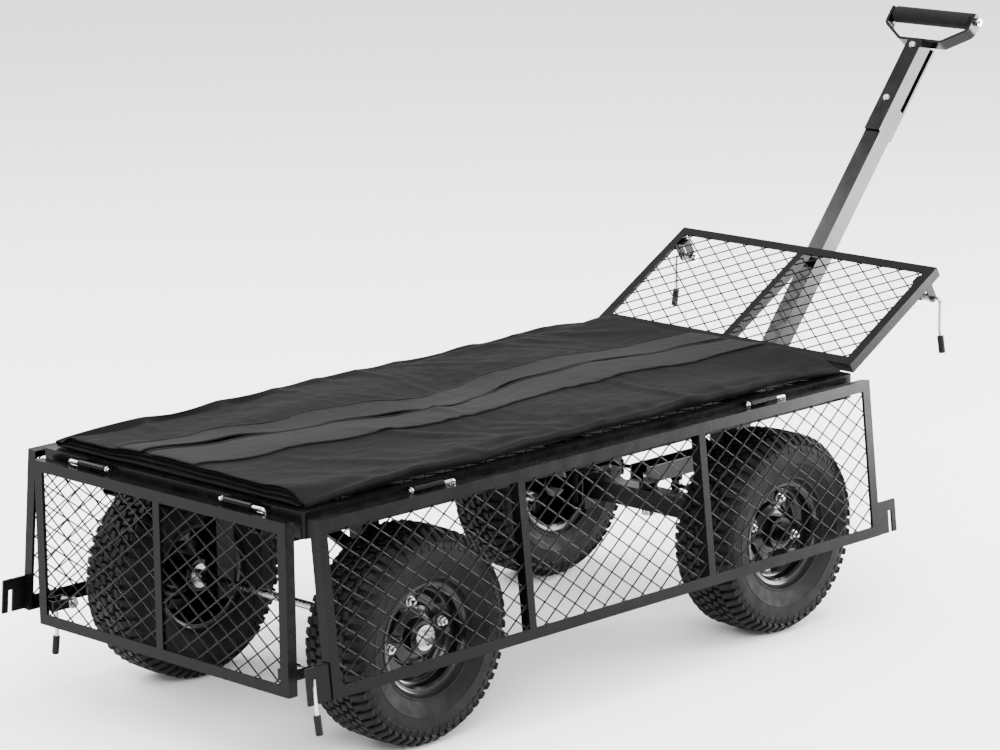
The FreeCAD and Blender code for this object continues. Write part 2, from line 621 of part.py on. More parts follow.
def drawbar_bolts():
    """Handle pivot bolt and the bolt that both tie rods hang on."""
    outer = TONGUE_INNER_HALF + TONGUE_WALL
    y, z = HANDLE_PIVOT_Y, HANDLE_PIVOT_Z
    reach = outer + PIVOT_BOLT_TAIL
    pivot = rod((-reach, y, z), (reach, y, z), HANDLE_BOLT_RADIUS)
    head = rod((outer, y, z), (outer + PIVOT_HEAD_HEIGHT, y, z), HANDLE_BOLT_RADIUS + HEAD_OVERHANG)
    pivot_bolt = fused([pivot, head, mirrored_x(head)])
    low = ARM_BOTTOM_Z - ARM_THICKNESS - FACE_GAP
    top = TONGUE_FLOOR_Z + TONGUE_WALL + PIVOT_HEAD_HEIGHT
    bottom = low - STEER_NUT_HEIGHT
    wide = STEER_BOLT_RADIUS + HEAD_OVERHANG
    shank = rod((0, STEER_BOLT_Y, bottom), (0, STEER_BOLT_Y, top), STEER_BOLT_RADIUS)
    nut = rod((0, STEER_BOLT_Y, bottom), (0, STEER_BOLT_Y, low - FACE_GAP), wide)
    collar = rod((0, STEER_BOLT_Y, ARM_BOTTOM_Z), (0, STEER_BOLT_Y, ARM_TOP_Z), wide)
    upper_head = rod((0, STEER_BOLT_Y, TONGUE_FLOOR_Z + TONGUE_WALL), (0, STEER_BOLT_Y, top), wide)
    return group([pivot_bolt, fused([shank, nut, collar, upper_head])])


# ---- wheels -----------------------------------------------------------------------------------
def revolved(points):
    """Solid of revolution about the X axis from (x, radius) points."""
    wire = Part.makePolygon([Vector(x, 0, r) for x, r in points] + [Vector(points[0][0], 0, points[0][1])])
    return Part.Face(wire).revolve(Vector(0, 0, 0), Vector(1, 0, 0), 360)


def tyre_outline(inset):
    """Tyre section as (x, radius) points from bead to bead, shrunk by an inset."""
    half = TYRE_WIDTH / 2 - inset
    crown = TYRE_RADIUS - inset
    bead = RIM_WIDTH / 2 - RIM_WALL
    side = [(bead - inset, RIM_RADIUS - RIM_LIP), (bead - inset, RIM_RADIUS + TYRE_TOE)]
    side += [(bead + TYRE_FLARE - inset, RIM_RADIUS + TYRE_FLARE_HEIGHT)]
    side += [(half - SIDEWALL_INSET, RIM_RADIUS + SIDEWALL_HEIGHT)]
    side += [(half, (crown + RIM_RADIUS) / 2 + BULGE_RISE), (half - SHOULDER_INSET, crown - TYRE_SHOULDER)]
    side += [(half - CROWN_EDGE_INSET, crown - TYRE_SHOULDER / 3), (half - TYRE_SHOULDER, crown)]
    return side + [(-x, r) for x, r in reversed(side)]


def wheel_tyre():
    """Pneumatic tyre, open towards the rim."""
    outer = tyre_outline(0)
    inner = tyre_outline(TYRE_WALL)
    return revolved(outer + list(reversed(inner)))


def wheel_rim():
    """Dished steel rim with a tubular hub and two bearing seats."""
    half = RIM_WIDTH / 2
    well = RIM_RADIUS - RIM_LIP
    lip = RIM_RADIUS - FACE_GAP
    barrel = revolved([(-half, lip), (-half, well - RIM_WALL), (half, well - RIM_WALL), (half, lip),
                       (half - RIM_WALL, lip), (half - RIM_WALL, well - FACE_GAP),
                       (-half + RIM_WALL, well - FACE_GAP), (-half + RIM_WALL, lip)])
    face = half - DISC_SETBACK
    dished = face - DISC_DISH
    rim_end = well - RIM_WALL + WELD_OVERLAP
    disc = revolved([(face, HUB_RADIUS - WELD_OVERLAP), (face, HUB_RADIUS + HUB_FLANGE),
                     (dished, HUB_RADIUS + DISH_START), (dished, well - DISH_END),
                     (face, rim_end), (face - RIM_WALL, rim_end),
                     (dished - RIM_WALL, well - DISH_END - DISH_BEVEL),
                     (dished - RIM_WALL, HUB_RADIUS + DISH_START - DISH_BEVEL),
                     (face - RIM_WALL, HUB_RADIUS + HUB_FLANGE - DISH_BEVEL),
                     (face - RIM_WALL, HUB_RADIUS - WELD_OVERLAP)])
    hub = rod((-HUB_LENGTH / 2, 0, 0), (HUB_LENGTH / 2, 0, 0), HUB_RADIUS)
    bore = rod((-HUB_LENGTH, 0, 0), (HUB_LENGTH, 0, 0), AXLE_RADIUS + HUB_BORE_GAP)
    solid = fused([barrel, disc, hub.cut(bore)])
    for side in (-1, 1):
        seat_start = side * (HUB_LENGTH / 2 - BEARING_LENGTH)
        seat = rod((seat_start, 0, 0), (side * HUB_LENGTH, 0, 0), BEARING_RADIUS)
        solid = solid.cut(seat)
    return solid


def wheel_bearings():
    """Two bearings pressed into the hub's ends."""
    bearings = []
    for side in (-1, 1):
        start = side * (HUB_LENGTH / 2 - BEARING_LENGTH)
        end = side * HUB_LENGTH / 2
        bearings.append(tube((start, 0, 0), (end, 0, 0), BEARING_RADIUS, AXLE_RADIUS + RUNNING_GAP))
    return group(bearings)


def wheel_nodes():
    """Tyre, rim and bearings at each corner of the cart."""
    nodes = {}
    for end, y in (("rear", REAR_AXLE_Y), ("front", FRONT_AXLE_Y)):
        for name, side in (("right", 1), ("left", -1)):
            for piece, make in (("tyre", wheel_tyre), ("rim", wheel_rim), ("bearings", wheel_bearings)):
                shape = make() if side > 0 else mirrored_x(make())
                shape.translate(Vector(side * WHEEL_MID_X, y, AXLE_Z))
                nodes[f"{end}_{name}_{piece}"] = shape
    return nodes


# ---- panels, built hanging from a hinge axis along local X, outer face towards local -Y --------
def angle_ring(half, drop, face):
    """Rectangular frame of angle iron, one leg in the outer face and one pointing inwards."""
    top, bottom = -drop, -drop - PANEL_HEIGHT
    outer = block((-half, -face, bottom), (half, -face + ANGLE_LEG, top))
    window = block((-half + ANGLE_LEG, -face, bottom + ANGLE_LEG),
                   (half - ANGLE_LEG, -face + ANGLE_LEG, top - ANGLE_LEG))
    hollow = block((-half + ANGLE_WALL, -face + ANGLE_WALL, bottom + ANGLE_WALL),
                   (half - ANGLE_WALL, -face + ANGLE_LEG, top - ANGLE_WALL))
    return outer.cut(window).cut(hollow)


def bar_web(x, drop, face):
    """Inward leg of an upright bar, which parts the mesh."""
    top, bottom = -drop - ANGLE_WALL, -drop - PANEL_HEIGHT + ANGLE_WALL
    left = x - BAR_WIDTH / 2
    return block((left, -face, bottom), (left + ANGLE_WALL, -face + ANGLE_LEG, top))


def stiffening_bar(x, drop, face):
    """Upright angle bar with one leg in the frame's outer face."""
    top, bottom = -drop - ANGLE_WALL, -drop - PANEL_HEIGHT + ANGLE_WALL
    flat = block((x - BAR_WIDTH / 2, -face, bottom), (x + BAR_WIDTH / 2, -face + ANGLE_WALL, top))
    return flat.fuse(bar_web(x, drop, face))


def panel_sleeve(x, drop, face):
    """Hinge sleeve with its weld saddle on the panel's top edge."""
    half = SLEEVE_LENGTH / 2
    sleeve = rod((x - half, 0, 0), (x + half, 0, 0), SLEEVE_RADIUS)
    reach = min(SLEEVE_RADIUS, face - ANGLE_WALL)
    inner = min(SLEEVE_RADIUS, ANGLE_LEG - face)
    saddle = block((x - half, -reach, -drop - ANGLE_WALL / 2), (x + half, inner, -SLEEVE_RADIUS / 2))
    return [sleeve, saddle]


def panel_frame(half, drop, face, bars, sleeves):
    """Welded panel frame with its bars and hinge sleeves."""
    parts = [angle_ring(half, drop, face)]
    parts += [stiffening_bar(x, drop, face) for x in bars]
    for x in sleeves:
        parts += panel_sleeve(x, drop, face)
    bore = rod((-half, 0, 0), (half, 0, 0), PIN_RADIUS + RUNNING_GAP)
    return fused(parts).cut(bore)


def panel_mesh(half, drop, face, bars):
    """Mesh held behind the frame's outer legs, in one piece between each two bars."""
    webs = [x - BAR_WIDTH / 2 for x in bars]
    starts = [-half + ANGLE_WALL] + [web + ANGLE_WALL for web in webs]
    ends = webs + [half - ANGLE_WALL]
    reach = PANEL_HEIGHT / 2 - ANGLE_WALL
    sheets = [mesh_sheet(start, end, -reach, reach) for start, end in zip(starts, ends)]
    place = Vector(0, -face + ANGLE_WALL, -drop - PANEL_HEIGHT / 2)
    return group([sheet.translated(place) for sheet in sheets])


def hinge_hand(x):
    """+1 where a hinge lies at positive local x, else -1."""
    return 1 if x > 0 else -1


def deck_sleeve(x, hand, reach):
    """Hinge sleeve that stands off the deck's rail."""
    start = x - hand * (SLEEVE_END_GAP + SLEEVE_LENGTH)
    end = x - hand * SLEEVE_END_GAP
    sleeve = rod((start, 0, 0), (end, 0, 0), SLEEVE_RADIUS)
    tab_top = SLEEVE_RADIUS - SLEEVE_TAB_INSET
    tab = block((min(start, end), 0, -SLEEVE_RADIUS), (max(start, end), reach, tab_top))
    bore = rod((start, 0, 0), (end, 0, 0), PIN_RADIUS + RUNNING_GAP)
    return fused([sleeve, tab]).cut(bore)


def hinge_pin(x, hand):
    """Wire pin with a hooked end."""
    start = x - hand * (SLEEVE_END_GAP + SLEEVE_LENGTH + PIN_CLIP_OVERHANG)
    turn = x + hand * (SLEEVE_LENGTH + PIN_OVERHANG)
    inward, low = PIN_HOOK_INWARD, -PIN_HOOK_DROP
    points = [(start, 0, 0), (turn, 0, 0), (turn, inward, low), (turn - hand * PIN_HOOK_RETURN, inward, low)]
    pin = bent_rod(points, PIN_RADIUS, PIN_HOOK_BEND)
    return pin.cut(pin_clip(x, hand, CLIP_WIRE_RADIUS + RUNNING_GAP))


def pin_clip(x, hand, wire):
    """Snap ring in a groove near the plain end of a hinge pin."""
    centre = x - hand * (SLEEVE_END_GAP + SLEEVE_LENGTH + PIN_CLIP_OVERHANG / 2)
    return Part.makeTorus(CLIP_RING_RADIUS, wire, Vector(centre, 0, 0), Vector(1, 0, 0))


def latch_bracket():
    """U-shaped bracket with two ears for one latch, at the +X end of a panel's free edge."""
    outer = END_PANEL_HALF_WIDTH - ANGLE_WALL
    inner = outer - LATCH_EAR_SPACING
    y, z = LATCH_LOCAL_Y, LATCH_LOCAL_Z
    root = -END_FACE_OFFSET + ANGLE_LEG - LATCH_ROOT_OVERLAP
    low, high = z - LATCH_EAR_RADIUS, z + LATCH_EAR_RADIUS
    parts = []
    for x in (outer - LATCH_EAR_WALL, inner - LATCH_EAR_WALL):
        parts.append(block((x, root, low), (x + LATCH_EAR_WALL, y, high)))
        parts.append(rod((x, y, z), (x + LATCH_EAR_WALL, y, z), LATCH_EAR_RADIUS))
    parts.append(block((inner, root, low), (outer, root + LATCH_EAR_WALL, high)))
    bore = rod((0, y, z), (DECK_WIDTH, y, z), LATCH_ROD_RADIUS + RUNNING_GAP)
    return fused(parts).cut(bore)


def lever_toe(axis_y, axis_z):
    """Knee and lower end of a latch lever."""
    knee = Vector(LATCH_BEND_X, axis_y, axis_z - LATCH_LEVER_LENGTH * LATCH_KNEE_SHARE)
    end = Vector(LATCH_BEND_X + LATCH_TOE_OUT, axis_y, axis_z - LATCH_LEVER_LENGTH + LATCH_TOE_RISE)
    return knee, end


def latch_lever(axis_y, axis_z):
    """Rod, washer, nut, spring and hanging lever of one latch, at a world height and place."""
    outer = END_PANEL_HALF_WIDTH - ANGLE_WALL
    inner_ear = outer - LATCH_EAR_SPACING - LATCH_EAR_WALL
    washer_end = inner_ear - LATCH_PLAY
    nut_end = washer_end - LATCH_WASHER_THICKNESS
    nut_start = nut_end - LATCH_NUT_HEIGHT
    points = [(nut_start, axis_y, axis_z), (LATCH_BEND_X, axis_y, axis_z)]
    points += [tuple(point) for point in lever_toe(axis_y, axis_z)]
    lever = bent_rod(points, LATCH_ROD_RADIUS, LATCH_BEND_RADIUS)
    nut = rod((nut_start, axis_y, axis_z), (nut_end, axis_y, axis_z), 2 * LATCH_ROD_RADIUS)
    washer = rod((nut_end, axis_y, axis_z), (washer_end, axis_y, axis_z), 3 * LATCH_ROD_RADIUS)
    spring_start = inner_ear + LATCH_EAR_WALL + LATCH_PLAY
    spring_end = outer - LATCH_EAR_WALL - LATCH_PLAY
    spring = tube((spring_start, axis_y, axis_z), (spring_end, axis_y, axis_z),
                  LATCH_SPRING_RADIUS, LATCH_ROD_RADIUS + RUNNING_GAP)
    return group([fused([lever, nut, washer]), spring])


def latch_grip(axis_y, axis_z):
    """Rubber sleeve over the lever's lower end."""
    knee, end = lever_toe(axis_y, axis_z)
    along = (end - knee).normalize()
    held = LATCH_GRIP_LENGTH - LATCH_GRIP_FLOOR
    start = end - along * held
    sleeve = Part.makeCylinder(LATCH_GRIP_RADIUS, LATCH_GRIP_LENGTH, start, along)
    tip = [e for e in sleeve.Edges if e.CenterOfMass.z < start.z - LATCH_GRIP_LENGTH / 2]
    sleeve = sleeve.makeFillet(LATCH_GRIP_RADIUS / 3, tip)
    return sleeve.cut(Part.makeCylinder(LATCH_ROD_RADIUS, held, start, along))


def hook_plate(side):
    """Slotted plate that stands out past one end of a side panel's free edge."""
    start = side * SIDE_PANEL_LENGTH / 2
    end = start + side * HOOK_PLATE_REACH
    bottom = -(SIDE_HINGE_DROP + RAISED_GAP) - PANEL_HEIGHT
    front = -SIDE_FACE_OFFSET + ANGLE_WALL
    top = bottom + HOOK_PLATE_HEIGHT
    plate = block((min(start, end), front, bottom), (max(start, end), front + HOOK_PLATE_WALL, top))
    slot_at = start + side * HOOK_SLOT_OFFSET
    slot = block((slot_at - HOOK_SLOT_WIDTH / 2, front, bottom),
                 (slot_at + HOOK_SLOT_WIDTH / 2, front + HOOK_PLATE_WALL, bottom + HOOK_SLOT_DEPTH))
    inner = start + side * HOOK_PLATE_WALL
    back = front + ANGLE_LEG - ANGLE_WALL
    flange = block((min(start, inner), front, bottom), (max(start, inner), back, top))
    return fused([plate.cut(slot), flange])


# ---- placing the panels -----------------------------------------------------------------------
def rear_place(shape):
    """Hang a panel shape at the rear of the deck."""
    return shape.translated(Vector(0, -END_HINGE_Y, END_HINGE_Z))


def front_turn(shape):
    """Turn a panel shape to face forwards at the front hinge, still hanging."""
    turned = shape.rotated(Vector(0, 0, 0), Vector(0, 0, 1), 180)
    return turned.translated(Vector(0, END_HINGE_Y, END_HINGE_Z))


def front_place(shape):
    """Hang a panel shape at the front and swing it up onto the handle."""
    hinge = Vector(0, END_HINGE_Y, END_HINGE_Z)
    return front_turn(shape).rotated(hinge, Vector(1, 0, 0), front_panel_angle() + 90)


def right_turn(shape):
    """Turn a panel shape to face +X at the right hinge, hanging straight down."""
    turned = shape.rotated(Vector(0, 0, 0), Vector(0, 0, 1), 90)
    return turned.translated(Vector(SIDE_HINGE_X, 0, SIDE_HINGE_Z))


def right_place(shape):
    """Hang a panel shape on the right side, leaning outwards."""
    hinge = Vector(SIDE_HINGE_X, 0, SIDE_HINGE_Z)
    return right_turn(shape).rotated(hinge, Vector(0, 1, 0), -SIDE_TILT)


def latch_axis(place):
    """World Y and Z of the latch rods of an end panel."""
    point = place(Part.Vertex(0, LATCH_LOCAL_Y, LATCH_LOCAL_Z)).Vertexes[0].Point
    return point.y, point.z


def end_panel_nodes():
    """Frames, meshes, latch brackets, levers and grips of the rear and front panels."""
    drop = END_HINGE_DROP + RAISED_GAP
    sleeves = [side * (END_HINGE_X + SLEEVE_LENGTH / 2) for side in (-1, 1)]
    nodes = {}
    for name, place in (("rear", rear_place), ("front", front_place)):
        frame = panel_frame(END_PANEL_HALF_WIDTH, drop, END_FACE_OFFSET, [0], sleeves)
        nodes[f"{name}_panel_frame"] = place(frame)
        nodes[f"{name}_panel_mesh"] = place(panel_mesh(END_PANEL_HALF_WIDTH, drop, END_FACE_OFFSET, [0]))
        brackets = both_sides(latch_bracket())
        nodes[f"{name}_latch_brackets"] = group([place(bracket) for bracket in brackets])
        axis_y, axis_z = latch_axis(place)
        for side, shapes in (("right", lambda s: s), ("left", mirrored_x)):
            nodes[f"{name}_{side}_latch_lever"] = shapes(latch_lever(axis_y, axis_z))
            nodes[f"{name}_{side}_latch_grip"] = shapes(latch_grip(axis_y, axis_z))
    return nodes


def side_panel_nodes():
    """Frames, meshes and hook plates of the two side panels."""
    drop = SIDE_HINGE_DROP + RAISED_GAP
    half = SIDE_PANEL_LENGTH / 2
    sleeves = [side * SIDE_HINGE_Y + SLEEVE_LENGTH / 2 for side in (-1, 1)]
    bars = [-SIDE_BAR_Y, SIDE_BAR_Y]
    frame = panel_frame(half, drop, SIDE_FACE_OFFSET, bars, sleeves)
    mesh = panel_mesh(half, drop, SIDE_FACE_OFFSET, bars)
    hooks = group([hook_plate(-1), hook_plate(1)])
    nodes = {}
    for piece, shape in (("panel_frame", frame), ("panel_mesh", mesh), ("hook_plates", hooks)):
        right = right_place(shape)
        nodes[f"right_{piece}"] = right
        nodes[f"left_{piece}"] = mirrored_x(right)
    return nodes


def hinge_nodes():
    """Deck sleeves, pins and snap rings of all eight hinges."""
    sleeves, pins, clips = [], [], []
    for x in (-END_HINGE_X, END_HINGE_X):
        hand = hinge_hand(x)
        for place in (rear_place, front_turn):
            sleeves.append(place(deck_sleeve(x, hand, END_HINGE_REACH)))
            pins.append(place(hinge_pin(x, hand)))
            clips.append(place(pin_clip(x, hand, CLIP_WIRE_RADIUS)))
    for x in (-SIDE_HINGE_Y, SIDE_HINGE_Y):
        sleeves += both_sides(right_turn(deck_sleeve(x, 1, SIDE_HINGE_REACH)))
        pins += both_sides(right_turn(hinge_pin(x, 1)))
        clips += both_sides(right_turn(pin_clip(x, 1, CLIP_WIRE_RADIUS)))
    return {"deck_hinge_sleeves": group(sleeves), "hinge_pins": group(pins), "hinge_pin_clips": group(clips)}


# ---- handle, built along +Z from its pivot, with its lower face towards +Y ---------------------
def handle_place(shape):
    """Lean a handle shape forwards and set it on the drawbar's pivot."""
    leaned = shape.rotated(Vector(0, 0, 0), Vector(1, 0, 0), HANDLE_ANGLE - 90)
    return leaned.translated(Vector(0, HANDLE_PIVOT_Y, HANDLE_PIVOT_Z))


def handle_shaft():
    """Square tube with a rounded lower end around the pivot."""
    half = HANDLE_TUBE / 2
    hollow = half - HANDLE_TUBE_WALL
    outer = block((-half, -half, 0), (half, half, SHAFT_LENGTH)).fuse(rod((-half, 0, 0), (half, 0, 0), half))
    bore = block((-hollow, -hollow, half), (hollow, hollow, SHAFT_LENGTH))
    pivot = rod((-half, 0, 0), (half, 0, 0), HANDLE_BOLT_RADIUS + RUNNING_GAP)
    return outer.removeSplitter().cut(bore).cut(pivot)


def pin_holes(shape):
    """Cut both hitch pin holes through a handle piece."""
    for s in HITCH_PIN_AT:
        shape = shape.cut(rod((0, -HANDLE_TUBE, s), (0, HANDLE_TUBE, s), HITCH_PIN_RADIUS + RUNNING_GAP))
    return shape


def handle_straps():
    """Two flat straps that join the shaft to the hand grip's stem."""
    half = HANDLE_TUBE / 2
    straps = []
    for side in (-1, 1):
        near, far = side * half, side * (half + STRAP_THICKNESS)
        strap = block((-half, min(near, far), STRAP_START), (half, max(near, far), STRAP_END))
        straps.append(pin_holes(strap))
    return group(straps)


def handle_yoke():
    """Stem and bent flat yoke that carries the hand grip."""
    half = HANDLE_TUBE / 2
    stem_start = SHAFT_LENGTH + STEM_GAP
    stem = pin_holes(block((-STEM_WIDTH / 2, -half, stem_start), (STEM_WIDTH / 2, half, STRAP_END)))
    level = STRAP_END + YOKE_STRIP_THICKNESS / 2
    knee = level + (GRIP_AT - level) * YOKE_KNEE_SHARE
    arm_top = GRIP_AT + YOKE_ARM_TOP
    path_points = [(-YOKE_ARM_HALF, 0, arm_top), (-YOKE_ARM_HALF, 0, knee), (-YOKE_BASE_HALF, 0, level),
                   (YOKE_BASE_HALF, 0, level), (YOKE_ARM_HALF, 0, knee), (YOKE_ARM_HALF, 0, arm_top)]
    path = bent_path(path_points, YOKE_BEND_RADIUS)
    wide, thick = YOKE_STRIP_WIDTH / 2, YOKE_STRIP_THICKNESS / 2
    profile = Part.makePolygon([Vector(-YOKE_ARM_HALF + dx * thick, dy * wide, arm_top)
                                for dx, dy in ((-1, -1), (1, -1), (1, 1), (-1, 1), (-1, -1))])
    strip = Part.Solid(path.makePipeShell([profile], True, False))
    grip_hole = rod((-YOKE_ARM_HALF - wide, 0, GRIP_AT), (YOKE_ARM_HALF + wide, 0, GRIP_AT), GRIP_BOLT_RADIUS)
    return fused([stem, strip.cut(grip_hole)])


def hand_grip():
    """Foam sleeve that the hand holds."""
    half = GRIP_LENGTH / 2
    return tube((-half, 0, GRIP_AT), (half, 0, GRIP_AT), GRIP_RADIUS, GRIP_BOLT_RADIUS)


def grip_bolt():
    """Bolt through the yoke and the grip, with its head and lock nuts."""
    reach = YOKE_ARM_HALF + YOKE_STRIP_THICKNESS / 2
    tail = reach + GRIP_NUT_LENGTH + GRIP_BOLT_TAIL
    shank = rod((-reach - GRIP_NUT_LENGTH, 0, GRIP_AT), (tail, 0, GRIP_AT), GRIP_BOLT_RADIUS)
    head = rod((-reach - GRIP_NUT_LENGTH, 0, GRIP_AT), (-reach, 0, GRIP_AT), GRIP_NUT_RADIUS)
    nut = rod((reach, 0, GRIP_AT), (reach + GRIP_NUT_LENGTH, 0, GRIP_AT), GRIP_NUT_RADIUS)
    return fused([shank, head, nut])


def hitch_ring(s, wire):
    """Ring clip through the tail of a hitch pin."""
    tail = HANDLE_TUBE / 2 + STRAP_THICKNESS + HITCH_TAIL / 2
    return Part.makeTorus(HITCH_RING_RADIUS, wire, Vector(0, tail, s - HITCH_RING_RADIUS), Vector(0, 1, 0))


def hitch_pins():
    """Two cross pins with domed heads, and the ring clips in their tails."""
    face = HANDLE_TUBE / 2 + STRAP_THICKNESS
    solids = []
    for s in HITCH_PIN_AT:
        pin = rod((0, -face, s), (0, face + HITCH_TAIL, s), HITCH_PIN_RADIUS)
        dome = Part.makeSphere(HITCH_HEAD_RADIUS, Vector(0, -face, s))
        keep = block((-HITCH_HEAD_RADIUS, -face - HITCH_HEAD_HEIGHT, s - HITCH_HEAD_RADIUS),
                     (HITCH_HEAD_RADIUS, -face, s + HITCH_HEAD_RADIUS))
        solids.append(fused([pin, dome.common(keep)]).cut(hitch_ring(s, RING_WIRE_RADIUS + RUNNING_GAP)))
        solids.append(hitch_ring(s, RING_WIRE_RADIUS))
    return group(solids)


# ---- liner ------------------------------------------------------------------------------------
def liner():
    """Folded fabric liner lying on the deck."""
    bottom = DECK_TOP_Z + LINER_GAP
    return block((-LINER_HALF_WIDTH, -LINER_HALF_LENGTH, bottom),
                 (LINER_HALF_WIDTH, LINER_HALF_LENGTH, bottom + LINER_HEIGHT))


def build_nodes():
    """Every named piece of the cart, laid out about the deck's centre."""
    nodes = {
        "deck_frame": deck_frame(),
        "deck_floor_mesh": deck_floor(),
        "cross_members": cross_members(),
        "long_beams": long_beams(),
        "rear_axle_brackets": rear_axle_brackets(),
        "rear_axle": rear_axle(),
        "rear_axle_fasteners": rear_axle_fasteners(),
        "front_axle_beam": front_axle_beam(),
        "steering_pins": steering_pins(),
        "right_knuckle": right_knuckle(),
        "left_knuckle": left_knuckle(),
        "right_spindle": right_spindle(),
        "left_spindle": mirrored_x(right_spindle()),
        "right_tie_rod": tie_rod(1),
        "left_tie_rod": tie_rod(-1),
        "drawbar": drawbar(),
        "drawbar_bolts": drawbar_bolts(),
        "handle_shaft": handle_place(handle_shaft()),
        "handle_straps": handle_place(handle_straps()),
        "handle_yoke": handle_place(handle_yoke()),
        "hand_grip": handle_place(hand_grip()),
        "grip_bolt": handle_place(grip_bolt()),
        "hitch_pins": handle_place(hitch_pins()),
        "liner": liner(),
    }
    nodes.update(wheel_nodes())
    nodes.update(end_panel_nodes())
    nodes.update(side_panel_nodes())
    nodes.update(hinge_nodes())
    return nodes


def origin_shift(nodes):
    """Move along Y that puts the origin at the bottom centre of the whole cart."""
    box = FreeCAD.BoundBox()
    for shape in nodes.values():
        box.add(shape.optimalBoundingBox(False))
    return Vector(0, -box.Center.y, 0)


def main():
    """Build every node and write it as its own STEP file."""
    os.makedirs("parts", exist_ok=True)
    nodes = build_nodes()
    shift = origin_shift(nodes)
    for name, shape in nodes.items():
        shape.translated(shift).exportStep(f"parts/{name}.step")
        print(name, len(shape.Solids), round(shape.Volume / 1000, 1))
    print("origin shift", round(shift.y, 3), "nodes", len(nodes))


main()
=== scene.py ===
import json
import logging
import math
from collections.abc import Sequence
from dataclasses import dataclass, field
from enum import Enum

import bmesh
import bpy
from mathutils import Matrix, Vector, noise


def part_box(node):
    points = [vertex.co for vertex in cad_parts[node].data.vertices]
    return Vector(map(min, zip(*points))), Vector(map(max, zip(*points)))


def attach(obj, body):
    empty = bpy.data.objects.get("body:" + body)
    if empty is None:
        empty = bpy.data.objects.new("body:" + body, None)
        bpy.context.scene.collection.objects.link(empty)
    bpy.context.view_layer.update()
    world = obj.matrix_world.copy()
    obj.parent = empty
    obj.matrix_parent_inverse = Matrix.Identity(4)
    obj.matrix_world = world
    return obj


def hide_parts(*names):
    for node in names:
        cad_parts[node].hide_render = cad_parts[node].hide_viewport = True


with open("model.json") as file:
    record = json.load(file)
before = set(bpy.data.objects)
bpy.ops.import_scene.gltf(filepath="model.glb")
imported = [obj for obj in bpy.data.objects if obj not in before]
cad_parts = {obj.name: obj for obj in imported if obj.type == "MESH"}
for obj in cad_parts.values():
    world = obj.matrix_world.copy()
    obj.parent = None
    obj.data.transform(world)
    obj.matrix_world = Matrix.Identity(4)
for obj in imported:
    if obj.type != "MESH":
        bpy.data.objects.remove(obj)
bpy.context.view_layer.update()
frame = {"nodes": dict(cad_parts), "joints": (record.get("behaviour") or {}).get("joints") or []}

LOG = logging.getLogger("mesh_garden_cart")
Colour = tuple[float, float, float, float]
Point2 = tuple[float, float]
Socket = bpy.types.NodeSocket
BMesh = bmesh.types.BMesh


class Slot(Enum):
    """Finish slots of the record, one given with each new piece."""

    RIM = "rim_black"
    MESH = "mesh_black"
    ZINC = "zinc"
    TYRE = "tyre_rubber"
    CLOTH = "fabric"


class Corner(Enum):
    """The four wheel stations of the cart."""

    REAR_RIGHT = "rear_right"
    REAR_LEFT = "rear_left"
    FRONT_RIGHT = "front_right"
    FRONT_LEFT = "front_left"

    @property
    def is_left(self) -> bool:
        """True on the cart's left side, where the wheel is turned about."""
        return self.value.endswith("left")


def grey(tone: float, warmth: float = 0.0) -> Colour:
    """Neutral colour of a linear tone, shifted a little to warm or cool."""
    return (tone * (1 + warmth), tone, tone * (1 - warmth), 1.0)


